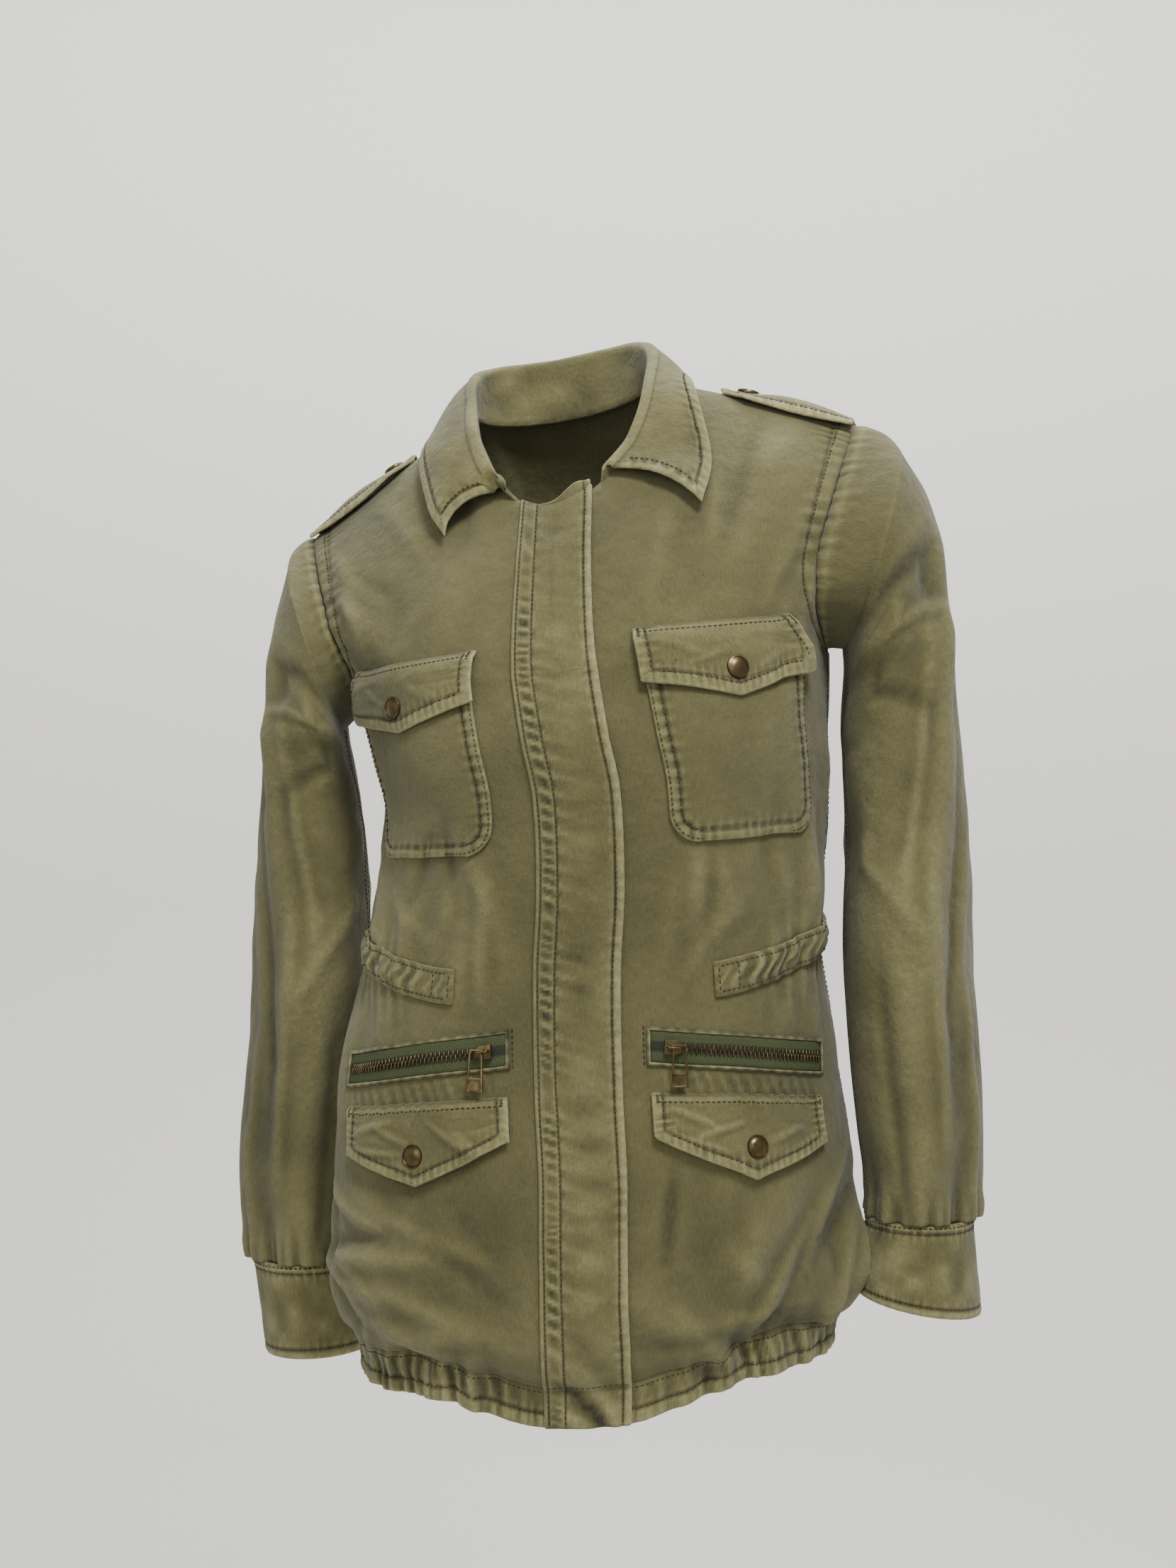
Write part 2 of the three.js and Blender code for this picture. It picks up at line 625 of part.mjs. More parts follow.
// Folds of a sleeve: turn is 0 at the inner side, 0.25 at the front, 0.5 outside and 0.75 behind.
const SLEEVE_FOLDS = table("along1 turn1 along2 turn2 width height", [
  [0.12, 0.2, 0.2, 0.34, 0.04, -4],
  [0.16, 0.14, 0.3, 0.34, 0.05, 4],
  [0.22, 0.4, 0.6, 0.27, 0.045, 3.2],
  [0.3, 0.5, 0.75, 0.42, 0.05, -2.6],
  [0.35, 0.12, 0.6, 0.14, 0.06, 2.6],
  [0.55, 0.2, 0.97, 0.24, 0.045, 3],
  [0.6, 0.34, 0.98, 0.36, 0.04, -2.8],
  [0.7, 0.45, 0.98, 0.48, 0.045, 2.6],
  [0.5, 0.58, 0.9, 0.62, 0.05, 3],
  [0.3, 0.7, 0.7, 0.78, 0.05, -3],
  [0.6, 0.84, 0.97, 0.82, 0.05, 2.8],
  [0.15, 0.6, 0.4, 0.66, 0.05, 3],
]);
const SLEEVE_COLUMNS = 20;
const CAP_PUFF = 9; // roundness of the sleeve's head
const CUFF_GATHERS = { count: 11, height: 1.6, from: 0.86 };

// The posed armhole edge, by share of its length: turn 0 is the armpit, 0.25 the front, 0.5 the
// shoulder point and 0.75 the back.
function armhole(side, turn) {
  const round = turn <= 0.5 ? 1 : 1.00001;
  const share = turn <= 0.5 ? turn * 2 : (1 - turn) * 2;
  const points = steps(48, 1e-4, 0.994).map((up) => bodyCloth(side, round, up));
  const lengths = [0];
  for (let i = 1; i < points.length; i++)
    lengths.push(lengths[i - 1] + points[i].distanceTo(points[i - 1]));
  const wanted = share * lengths[48];
  const i = clamp(lengths.findIndex((length) => length >= wanted), 1, 48);
  return points[i - 1].lerp(points[i], (wanted - lengths[i - 1]) / (lengths[i] - lengths[i - 1]));
}

function sleeveFold(along, turn) {
  let height = 0;
  for (const fold of SLEEVE_FOLDS) {
    const t = clamp((along - fold.along1) / (fold.along2 - fold.along1));
    const beyond = Math.max(0, fold.along1 - along, along - fold.along2) / 0.05;
    const off = (turn - mix(fold.turn1, fold.turn2, t)) / fold.width;
    height += fold.height * Math.exp(-off * off - beyond * beyond);
  }
  const gather = ease((along - CUFF_GATHERS.from) / (1 - CUFF_GATHERS.from));
  return height + gather * CUFF_GATHERS.height * Math.sin(2 * Math.PI * turn * CUFF_GATHERS.count);
}

// A section point: turn 0 lies inside, 0.25 in front, 0.5 outside, 0.75 behind.
function sleeveSection(row, turn) {
  const angle = 2 * Math.PI * turn;
  const inward = (1 + Math.cos(angle)) / 2;
  return new THREE.Vector3(
    mix(row.outerX, row.innerX, inward),
    row.centreY - row.halfDepth * Math.sin(angle),
    mix(row.outerZ, row.innerZ, inward),
  );
}

function sleeve(name) {
  const { side, sections } = SLEEVES[name];
  const numbered = sections.map((row, i) => ({ ...row, along: (i + 1) / sections.length }));
  const turns = steps(SLEEVE_COLUMNS).slice(0, -1);
  const alongs = [0, 0.025, 0.055, ...steps(16, 1 / sections.length, 1)];
  const grid = alongs.map((along) =>
    turns.map((turn) => {
      const row = sectionAt(numbered, Math.max(along, numbered[0].along), "along");
      const free = place(sleeveSection(row, turn));
      if (along >= numbered[0].along) return free;
      const edge = armhole(side, turn);
      edge.add(free.clone().sub(edge).setLength(SEAM_GAP * 2));
      edge.x += side * SEAM_GAP * 2;
      const outer = (1 - Math.cos(2 * Math.PI * turn)) / 2;
      const middle = edge.clone().lerp(free, 0.5);
      middle.add(new THREE.Vector3(side * CAP_PUFF * outer, 0, CAP_PUFF * 0.7 * outer));
      return bend(edge, middle, free, along / numbered[0].along);
    }),
  );
  const normals = gridNormals(grid, true);
  const folded = grid.map((line, r) =>
    line.map((p, c) => {
      const depth = ease((alongs[r] - 0.09) / 0.08) * sleeveFold(alongs[r], turns[c]);
      return p.clone().addScaledVector(normals[r][c], depth * side * -1);
    }),
  );
  return clothWall(`sleeve_${name}`, orient(folded, side), CLOTH, { closed: true });
}

// Rows downwards and columns round the front read rightwards from outside only on one side.
function orient(grid, side) {
  const down = [...grid].reverse();
  return side > 0 ? down.map((line) => [...line].reverse()) : down;
}

const CUFF_ROWS = 3;
function cuff(name) {
  const { side, sections, cuffOuter, cuffInner, cuffY } = SLEEVES[name];
  const top = sections[sections.length - 1];
  const bottom = {
    outerX: cuffOuter[0],
    outerZ: cuffOuter[1],
    innerX: cuffInner[0],
    innerZ: cuffInner[1],
    centreY: cuffY,
    halfDepth: 42,
  };
  const turns = steps(SLEEVE_COLUMNS).slice(0, -1);
  const grid = steps(CUFF_ROWS).map((t) =>
    turns.map((turn) => {
      const high = sleeveSection(top, turn);
      high.z -= 1.2;
      const low = sleeveSection(bottom, turn);
      const swell = 1 + 0.02 * Math.sin(Math.PI * t);
      const point = high.lerp(low, t);
      point.x = mix(mix(top.outerX, top.innerX, 0.5), point.x, swell);
      return place(point);
    }),
  );
  return clothWall(`cuff_${name}`, orient(grid, side), DOUBLE, { closed: true });
}

// Pockets, flaps and trims. A patch is laid out in mm: across from the inner edge, down from the top.

// A patch on the body from an outline: half-open rows with a left and a right edge.
function patch(name, side, grid, lift, thickness, finish = OLIVE) {
  const points = grid.map((line) =>
    line.map(([girth, level, extra = 0]) => onBody(side * girth, level, lift + thickness + extra)),
  );
  const rightwards = side > 0 ? points : points.map((line) => [...line].reverse());
  return clothWall(name, rightwards, thickness, { finish });
}

const CHEST_POCKET = { inner: 57, outer: 165, top: -182, bottom: -303, corner: 20, lift: 0.8 };
function chestPocket(side) {
  const { inner, outer, top, bottom, corner, lift } = CHEST_POCKET;
  const levels = [0, 0.25, 0.6, 1].map((t) => bottom + corner * t);
  levels.push(...steps(5, bottom + corner, top).slice(1));
  const grid = levels.map((level) => {
    const into = clamp(1 - (level - bottom) / corner);
    const inset = corner * (1 - Math.sqrt(1 - (into * 0.97) ** 2));
    return steps(8, inner + inset, outer - inset).map((girth) => {
      const middle = Math.sin((Math.PI * (girth - inner)) / (outer - inner));
      return [girth, level, 1.4 * middle * clamp((level - bottom) / 40) * clamp((top - level) / 50)];
    });
  });
  return patch(`chest_pocket_${side > 0 ? "left" : "right"}`, side, grid, lift, CLOTH);
}

// A flap: a strip whose free edge comes to a point. It hangs from its top edge and lifts off below.
function flapGrid({ inner, outer, top, slope, innerDrop, outerDrop, point, pointAt, lifts }, across, down) {
  return steps(down).map((t) =>
    steps(across).map((u) => {
      const girth = mix(inner, outer, u);
      const drop =
        u < pointAt
          ? mix(innerDrop, point, u / pointAt)
          : mix(point, outerDrop, (u - pointAt) / (1 - pointAt));
      const high = top - slope * (girth - inner);
      const fallen = 1 - t;
      return [girth, high - drop * fallen, lifts(u, fallen)];
    }),
  );
}

const CHEST_FLAP = {
  inner: 54, outer: 169, top: -170, slope: 0, innerDrop: 34, outerDrop: 34, point: 47, pointAt: 0.52,
  lifts: (u, fallen) => 0.1 + 3.8 * ease(4 * fallen) + 1.6 * fallen * (0.6 + 0.4 * Math.sin(9 * u)),
};
const LOWER_FLAP = {
  inner: 46, outer: 168, top: -461, slope: 0.13, innerDrop: 27, outerDrop: 31, point: 55, pointAt: 0.52,
  lifts: (u, fallen) => 0.7 + 3.4 * fallen ** 1.5 * (0.8 + 0.2 * Math.sin(11 * u)),
};

function flap(name, side, shape) {
  const grid = flapGrid(shape, 10, 4);
  return patch(`${name}_${side > 0 ? "left" : "right"}`, side, grid, SEAM_GAP, DOUBLE);
}

// A frame on the cloth: a point, its outward direction, the way along and the way up.
function seat(girth, level, lift, slope = 0) {
  const at = onBody(girth, level, lift);
  const out = onBody(girth, level, lift + 5).sub(at).normalize();
  const along = onBody(girth + 6, level - slope * 6 * Math.sign(girth), lift).sub(
    onBody(girth - 6, level + slope * 6 * Math.sign(girth), lift),
  );
  along.addScaledVector(out, -along.dot(out)).normalize();
  const up = new THREE.Vector3().crossVectors(along, out).negate().normalize();
  return new THREE.Matrix4().makeBasis(along, out.clone().negate(), up).setPosition(at);
}

// Snap caps: a domed brass cap, turned about the way out of the cloth.
const SNAP = { radius: 7.5, height: 2.6, rim: 0.8, facets: 14 };
function snap(name, frame) {
  const { radius, height, rim, facets } = SNAP;
  const profile = [
    [0, 0],
    [radius, 0],
    [radius, rim],
    [radius - 1.2, rim * 1.6],
    [radius * 0.5, height * 0.9],
    [0, height],
  ].map(([r, h]) => new THREE.Vector2(r, h));
  const geometry = new THREE.LatheGeometry(profile, facets);
  geometry.rotateX(Math.PI);
  const mesh = meshOf(name, mergeClean(geometry), OLD_BRASS);
  mesh.applyMatrix4(frame);
  return mesh;
}

function mergeClean(geometry) {
  const bare = geometry.clone();
  bare.deleteAttribute("normal");
  bare.deleteAttribute("uv");
  return fromManifold(toManifold(bare));
}

const SNAP_PLACES = [
  { name: "chest_snap", girth: 113, level: -201, lift: 7.1 },
  { name: "lower_snap", girth: 110, level: -503, lift: 5.4 },
];

// Zip pockets: a rim round the window, the tape, the teeth, the slider and its pull tab.
const ZIP = { inner: 46, outer: 172, level: -431, slope: 0.16, half: 10, rim: 3, sliderAt: 60 };
const zipLevel = (girth) => ZIP.level - ZIP.slope * (girth - ZIP.inner);
const TAPE = { lift: 0.7, thickness: 0.9 };
const TEETH = { half: 3.2, thickness: 1.3, lift: 2.1 };

function zipStrip(name, side, from, to, half, lift, thickness, finish, across = 14) {
  const grid = [-1, 1].map((t) =>
    steps(across, from, to).map((girth) => [girth, zipLevel(girth) + half * t]),
  );
  return patch(name, side, grid, lift, thickness, finish);
}

function zipRim(side) {
  const { inner, outer, half, rim } = ZIP;
  const sections = [];
  const corners = [
    [inner, -1],
    [outer, -1],
    [outer, 1],
    [inner, 1],
  ];
  const counts = [14, 2, 14, 2];
  corners.forEach(([girth, edge], i) => {
    const [nextGirth, nextEdge] = corners[(i + 1) % 4];
    for (const t of steps(counts[i]).slice(0, -1)) {
      const g = mix(girth, nextGirth, t);
      const e = mix(edge, nextEdge, t);
      const outG = g + rim * (g <= inner + 1e-6 ? -1 : g >= outer - 1e-6 ? 1 : 0);
      const outE = Math.abs(e) > 1 - 1e-6 ? Math.sign(e) * rim : 0;
      const level = zipLevel(g) + e * half;
      const low = TAPE.lift;
      const high = low + 2;
      sections.push([
        onBody(side * g, level, low),
        onBody(side * g, level, high),
        onBody(side * outG, level + outE, high),
        onBody(side * outG, level + outE, low),
      ]);
    }
  });
  const ordered = side > 0 ? sections : [...sections].reverse();
  return sectionSolid(`zip_rim_${side > 0 ? "left" : "right"}`, ordered, { looped: true });
}

// The slider's own frame: X along the zip towards the wearer's left, Y into the cloth, Z up.
const SLIDER = { length: 11, wide: 9, narrow: 6, thickness: 2.6, bar: 1.4, barHeight: 3.7, reach: 4.5 };
const SLIDER_LIFT = TAPE.lift + TAPE.thickness + 0.6;

function slider(side, frame) {
  const { length, wide, narrow, thickness, bar, barHeight, reach } = SLIDER;
  const narrowEnd = (side * length) / 2; // towards the closed teeth
  const body = new THREE.Shape([
    new THREE.Vector2(narrowEnd, -narrow / 2),
    new THREE.Vector2(narrowEnd / 3, -wide / 2),
    new THREE.Vector2(-narrowEnd, -wide / 2),
    new THREE.Vector2(-narrowEnd, wide / 2),
    new THREE.Vector2(narrowEnd / 3, wide / 2),
    new THREE.Vector2(narrowEnd, narrow / 2),
  ]);
  const plate = new THREE.ExtrudeGeometry(body, { depth: thickness, bevelEnabled: false });
  plate.rotateX(Math.PI / 2); // so that it rises out of the cloth
  const top = thickness + barHeight + bar / 2;
  const under = top - bar;
  const foot = thickness - 0.5;
  const arch = new THREE.Shape([
    new THREE.Vector2(-reach, -foot),
    new THREE.Vector2(-reach, 0.6 - top),
    new THREE.Vector2(0.6 - reach, -top),
    new THREE.Vector2(reach - 0.6, -top),
    new THREE.Vector2(reach, 0.6 - top),
    new THREE.Vector2(reach, -foot),
    new THREE.Vector2(reach - bar, -foot),
    new THREE.Vector2(reach - bar, -under),
    new THREE.Vector2(bar - reach, -under),
    new THREE.Vector2(bar - reach, -foot),
  ]);
  const bail = new THREE.ExtrudeGeometry(arch, { depth: bar, bevelEnabled: false });
  bail.translate(0, 0, -bar / 2);
  const solid = toManifold(plate).add(toManifold(bail));
  const mesh = meshOf(`zip_slider_${side > 0 ? "left" : "right"}`, fromManifold(solid), OLD_BRASS);
  mesh.applyMatrix4(frame);
  return mesh;
}

// The pull tab is a wire loop round the bail's outer post, with a small plate in its lower end.
// It hangs straight down in the plane of the cloth, and turns about the post.
const TAB = { length: 27, top: 8.6, bottom: 11, wire: 1.2, plate: 9, above: 1.65 };
function pullTab(side, frame) {
  const { length, top, bottom, wire, plate, above } = TAB;
  const low = above + wire / 2 - length;
  const halfAt = (z) => mix(bottom, top, (z - low) / length) / 2;
  const outline = (inset, from, to) =>
    [[-1, from], [-1, to], [1, to], [1, from]].map(
      ([edge, z]) => new THREE.Vector2(edge * (halfAt(z) - inset), z),
    );
  const loop = new THREE.Shape(outline(0, low + length, low));
  loop.holes.push(new THREE.Path(outline(wire, above - wire / 2, low + plate)));
  loop.holes.push(new THREE.Path(outline(wire, low + plate - wire, low + wire)));
  const ring = new THREE.ExtrudeGeometry(loop, { depth: wire, bevelEnabled: false });
  ring.translate(0, 0, -wire / 2);
  const inlay = new THREE.ExtrudeGeometry(
    new THREE.Shape(outline(wire / 2, low + plate - wire / 2, low + wire / 2)),
    { depth: wire * 0.4, bevelEnabled: false },
  );
  inlay.translate(0, 0, -wire * 0.2);
  const geometry = fromManifold(toManifold(ring).add(toManifold(inlay)));
  geometry.rotateX(Math.PI / 2);
  const pivot = new THREE.Vector3(
    side * (SLIDER.reach - SLIDER.bar / 2),
    above - SLIDER.thickness - SLIDER.barHeight,
    0,
  ).applyMatrix4(frame);
  const into = new THREE.Vector3().setFromMatrixColumn(frame, 1);
  const up = new THREE.Vector3(0, 0, 1).addScaledVector(into, -into.z).normalize();
  const across = new THREE.Vector3().crossVectors(into, up);
  const mesh = meshOf(`pull_tab_${side > 0 ? "left" : "right"}`, geometry, OLD_BRASS);
  mesh.applyMatrix4(new THREE.Matrix4().makeBasis(across, into, up).setPosition(pivot));
  return mesh;
}

function zipPocket(side) {
  const suffix = side > 0 ? "left" : "right";
  const inside = SEAM_GAP + 0.1;
  const frame = seat(side * ZIP.sliderAt, zipLevel(ZIP.sliderAt), SLIDER_LIFT, ZIP.slope);
  return [
    zipRim(side),
    zipStrip(`zip_tape_${suffix}`, side, ZIP.inner + inside, ZIP.outer - inside, ZIP.half - inside,
      TAPE.lift, TAPE.thickness, TAPE_GREEN),
    zipStrip(`zip_teeth_${suffix}`, side, ZIP.sliderAt + SLIDER.length / 2 + 0.8, ZIP.outer - 1.2,
      TEETH.half, TEETH.lift, TEETH.thickness, OLD_BRASS),
    slider(side, frame),
    pullTab(side, frame),
  ];
}

// Epaulettes: a strap sewn in at the shoulder point, snapped down near the collar.
const STRAP = { reach: 82, half: 19, tip: 0.8, bow: 6, droop: 2, snapAt: 0.8, lift: 4 };
function strapPoint(side, along, across, lift) {
  const x = SHOULDER.halfWidth - 1 - STRAP.reach * along;
  const share = mix(NECK_SHARE, 1, (x - NECK.halfWidth) / (SHOULDER.halfWidth - NECK.halfWidth));
  const ridge = topEdge(Math.max(share, NECK_SHARE), false);
  const narrow = along > STRAP.tip ? 1 - 0.72 * ((along - STRAP.tip) / (1 - STRAP.tip)) : 1;
  const arch = STRAP.bow * Math.sin(Math.PI * clamp(along / STRAP.snapAt)) ** 1.2;
  return pose(
    new THREE.Vector3(
      side * x,
      NECK.ridgeY + STRAP.half * across * narrow,
      ridge.z + lift + arch - STRAP.droop * across * across,
    ),
  );
}

function epaulette(side) {
  const alongs = [0, 0.06, 0.15, 0.3, 0.45, 0.6, 0.72, 0.8, 0.9, 1];
  const grid = steps(4, -1, 1).map((across) =>
    (side > 0 ? [...alongs].reverse() : alongs).map((along) =>
      strapPoint(side, along, across, STRAP.lift),
    ),
  );
  return clothWall(`epaulette_${side > 0 ? "left" : "right"}`, grid, DOUBLE);
}

function epauletteSnap(side) {
  const { lift } = STRAP;
  const at = strapPoint(side, STRAP.snapAt, 0, lift);
  const step = 0.05;
  const along = strapPoint(side, STRAP.snapAt - step, 0, lift).sub(strapPoint(side, STRAP.snapAt + step, 0, lift));
  const across = strapPoint(side, STRAP.snapAt, 4 * step, lift).sub(strapPoint(side, STRAP.snapAt, -4 * step, lift));
  const out = along.clone().cross(across).normalize();
  if (out.z < 0) out.negate();
  along.normalize();
  const third = new THREE.Vector3().crossVectors(along, out.clone().negate()).normalize();
  const frame = new THREE.Matrix4().makeBasis(along, out.clone().negate(), third);
  frame.setPosition(at.addScaledVector(out, 0.9));
  return snap(`epaulette_snap_${side > 0 ? "left" : "right"}`, frame);
}

const jacket = new THREE.Group();
jacket.add(backPanel(), hemBand(), waistCasing(), flyFlap(), collar());
for (const side of [1, -1]) {
  const suffix = side > 0 ? "left" : "right";
  jacket.add(frontPanel(side), sleeve(suffix), cuff(suffix));
  jacket.add(chestPocket(side), flap("chest_flap", side, CHEST_FLAP), flap("lower_flap", side, LOWER_FLAP));
  for (const { name, girth, level, lift } of SNAP_PLACES)
    jacket.add(snap(`${name}_${suffix}`, seat(side * girth, level, lift)));
  jacket.add(...zipPocket(side), epaulette(side), epauletteSnap(side));
}

export default jacket;
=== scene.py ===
import math

import bmesh
import bpy
import numpy as np
from mathutils import Matrix, Vector


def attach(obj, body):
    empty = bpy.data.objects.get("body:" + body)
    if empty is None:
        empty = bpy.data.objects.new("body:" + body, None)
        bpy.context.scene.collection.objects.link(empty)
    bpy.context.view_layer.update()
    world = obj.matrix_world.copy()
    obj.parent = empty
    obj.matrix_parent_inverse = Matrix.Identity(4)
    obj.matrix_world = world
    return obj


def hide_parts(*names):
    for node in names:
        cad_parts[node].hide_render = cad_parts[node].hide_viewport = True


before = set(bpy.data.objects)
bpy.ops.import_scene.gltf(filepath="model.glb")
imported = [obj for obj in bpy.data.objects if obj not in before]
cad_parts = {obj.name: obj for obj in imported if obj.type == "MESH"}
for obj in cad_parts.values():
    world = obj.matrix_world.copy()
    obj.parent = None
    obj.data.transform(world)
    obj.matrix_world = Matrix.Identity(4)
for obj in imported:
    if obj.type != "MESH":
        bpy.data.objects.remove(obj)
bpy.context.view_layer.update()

# The cloth's surfaces are worked out in millimetres, as the solids' are, and made in metres.
MM = 0.001
CLOTH = 1.6
DOUBLE = 2.4
SEAM_GAP = 0.3
FRAME_TURN = math.radians(6)  # turns the hips square to the front
ARMPIT = -191
HEM_SEAM = -644
HEM_EDGE = -671
HEM_RISE = 19
RING_POWER = 2.4
NECK = dict(half_width=62, ridge_y=4, front_depth=80, front_drop=80, back_depth=46, back_drop=4)
SHOULDER = dict(half_width=193, drop=56)
NECK_SHARE = 0.36
NECKLINE_SPREAD = 300
FLAP_HALF = 27
SIDE_NAMES = {1: "left", -1: "right"}


def table(names, rows):
    """A table with named columns, one row for each section or fold."""
    return dict(zip(names.split(), np.array(rows, float).T))


def fields(*values):
    """Numbers and arrays of them, all in one shape."""
    return np.broadcast_arrays(*(np.asarray(value, float) for value in values))


def mix(a, b, t):
    return a + (b - a) * t


def ease(t):
    t = np.clip(t, 0, 1)
    return t * t * (3 - 2 * t)


def noise(u, v, seed=0):
    """Smooth random heights from -1 to 1, one step of the pattern for each unit of u and v."""
    u, v = fields(u, v)
    column = np.floor(u).astype(np.int64)
    row = np.floor(v).astype(np.int64)

    def corner(i, j):
        mixed = (i * 374761393 + j * 668265263 + seed * 974634777) & 0xFFFFFFFF
        mixed = ((mixed ^ (mixed >> 13)) * 1274126177) & 0xFFFFFFFF
        return ((mixed ^ (mixed >> 16)) & 0xFFFF) / 32767.5 - 1

    across, up = ease(u - column), ease(v - row)
    low = mix(corner(column, row), corner(column + 1, row), across)
    high = mix(corner(column, row + 1), corner(column + 1, row + 1), across)
    return mix(low, high, up)


# The worn body: how each level is moved, turned and sized.
BODY = table("level shift_x shift_y half_width front back roll yaw", [
    [60, -25, -12, 150, 100, 80, 9.5, -12],
    [0, -19, -8, 156, 108, 96, 10, -12],
    [-56, -7, 0, 160, 112, 104, 10, -12],
    [-120, -2, -2, 162, 116, 108, 8.5, -12],
    [-191, 3, -3, 161, 120, 108, 6.4, -11.5],
    [-230, 10, -4, 154, 129, 106, 5.6, -11],
    [-267, 15, -4, 149, 127, 103, 4.8, -10],
    [-330, 12, -2, 150, 119, 98, 3.4, -8],
    [-378, 5, 0, 154, 111, 95, 2.2, -6],
    [-450, 0, 0, 168, 116, 110, 2, -3],
    [-513, 2, 0, 174, 122, 119, 2, -2.2],
    [-575, 3, 0, 176, 125, 124, 2.6, -2.5],
    [-610, 4, 0, 177, 125, 124, 3.4, -2.6],
    [-632, 5, 0, 172, 120, 119, 3.8, -2.8],
    [-646, 6, 0, 163, 112, 111, 4, -3],
    [-672, 6, 0, 160, 109, 107, 4, -3],
    [-700, 6, 0, 160, 109, 107, 4, -3],
])

# Folds: girth runs round the cloth from the centre front to the wearer's left (+) or right (-).
BODY_FOLDS = table("girth1 level1 girth2 level2 width height", [
    [160, -388, 176, -300, 15, 3.4],
    [-156, -388, -176, -300, 15, 3.6],
    [104, -305, 124, -372, 15, 2.6],
    [72, -312, 84, -404, 16, 2],
    [70, -575, 116, -520, 14, -3.2],
    [96, -640, 38, -594, 14, 6],
    [160, -628, 96, -596, 15, -4.5],
    [200, -632, 224, -510, 16, 6],
    [-66, -588, -140, -596, 14, -4.2],
    [-64, -616, -180, -588, 14, 5.5],
    [-214, -634, -236, -520, 17, 5],
    [-120, -548, -200, -575, 16, 4],
    [60, -130, 76, -60, 16, 2.2],
    [112, -150, 120, -84, 17, 2.4],
    [-118, -160, -172, -128, 15, 4],
    [-70, -150, -60, -90, 16, 2],
    [300, -392, 292, -296, 18, 3.4],
    [410, -392, 404, -290, 18, 3.6],
    [-300, -392, -290, -296, 18, 3.4],
    [-412, -392, -404, -300, 18, 3],
    [300, -634, 330, -560, 18, 5],
    [390, -636, 372, -556, 18, -5],
    [450, -634, 440, -548, 18, 5],
    [-310, -634, -330, -560, 18, 5],
    [-392, -636, -380, -556, 18, -5],
    [-446, -634, -430, -560, 18, 5],
    [-268, -240, -300, -170, 16, 4],
    [262, -240, 296, -170, 16, 4],
    # Sharper creases, which the solids leave out
    [150, -385, 165, -300, 11, 2.2],
    [188, -382, 192, -320, 10, 2.6],
    [128, -395, 132, -330, 9, 2.2],
    [170, -405, 168, -440, 9, 2.6],
    [140, -405, 136, -432, 9, 2.2],
    [-150, -385, -165, -300, 12, 2.2],
    [-190, -382, -196, -310, 11, 2.8],
    [-126, -395, -120, -310, 10, 2.4],
    [-172, -405, -176, -440, 9, 2.6],
    [-140, -405, -138, -432, 9, 2],
    [-90, -632, -206, -604, 9, -3],
    [238, -632, 258, -500, 13, -4],
    [352, -388, 356, -300, 13, 3],
    [-356, -388, -352, -300, 13, 3],
    [84, -628, 62, -600, 7, 2.6],
    [110, -636, 70, -612, 7, -2.4],
    [128, -600, 96, -566, 8, 2.2],
    [150, -640, 176, -600, 7, 2.6],
    [190, -610, 178, -560, 8, -2.2],
    [-78, -602, -150, -580, 7, 2.2],
    [-110, -640, -170, -622, 7, 2.4],
    [-150, -570, -196, -548, 8, 2],
    [-58, -560, -84, -530, 8, -1.6],
    [86, -315, 96, -342, 7, 1.6],
    [132, -312, 140, -350, 7, 1.8],
    [-84, -314, -92, -350, 7, 1.6],
    [-110, -316, -128, -340, 7, -1.4],
    [-142, -200, -180, -150, 8, 2.2],
    [-128, -150, -158, -100, 8, 1.8],
    [160, -215, 176, -160, 9, 2],
    [140, -160, 150, -110, 8, 1.6],
    [190, -300, 214, -240, 10, 2.4],
    [-196, -290, -214, -230, 10, 2.4],
    [-60, -330, -46, -380, 8, 1.4],
    [60, -330, 52, -384, 8, 1.5],
    [330, -120, 410, -96, 12, 2.2],
    [-330, -120, -410, -100, 12, 2],
    [340, -200, 370, -130, 12, -2],
    [-340, -210, -372, -140, 12, -2],
])
HEM_GATHER = dict(pitch=27, height=2.2, reach=26, clear_front=46)
HEM_FINE = dict(pitch=10, height=0.9, reach=15)
CASING_GATHER = dict(pitch=12.5, height=1.1, reach=26, clear_front=112)
ZIP_TUCKS = dict(pitch=9.5, below=9, reach=6)
TAPER = 0.55  # how much lower a crease is at its ends
FADE = 1.6  # widths over which it ends
CASING = dict(
    right_end=0.365, left_end=0.4, half=11, end_level=-392, side_level=-370, back_level=-366, lift=1.2
)


LEAN_SPREAD = 22  # degrees
SMALL_WIDTHS = (5.4, 10.0)
HOLLOWS = 0.35  # share of the small folds that go inwards


def small_folds(seed, count, girths, levels, lean, length, height):
    """Random straight creases in a part of the body; lean is how far they slant off upright."""
    chance = np.random.default_rng(seed)
    girth = chance.uniform(*girths, count)
    level = chance.uniform(*levels, count)
    slant = np.radians(chance.normal(lean, LEAN_SPREAD, count))
    reach = chance.uniform(0.5, 1.2, count) * length
    width = chance.uniform(*SMALL_WIDTHS, count)
    rise = chance.uniform(0.6, 1.2, count) * height * np.where(chance.random(count) < HOLLOWS, -0.8, 1)
    over, up = reach / 2 * np.sin(slant), reach / 2 * np.cos(slant)
    return np.stack([girth - over, level - up, girth + over, level + up, width, rise], 1)


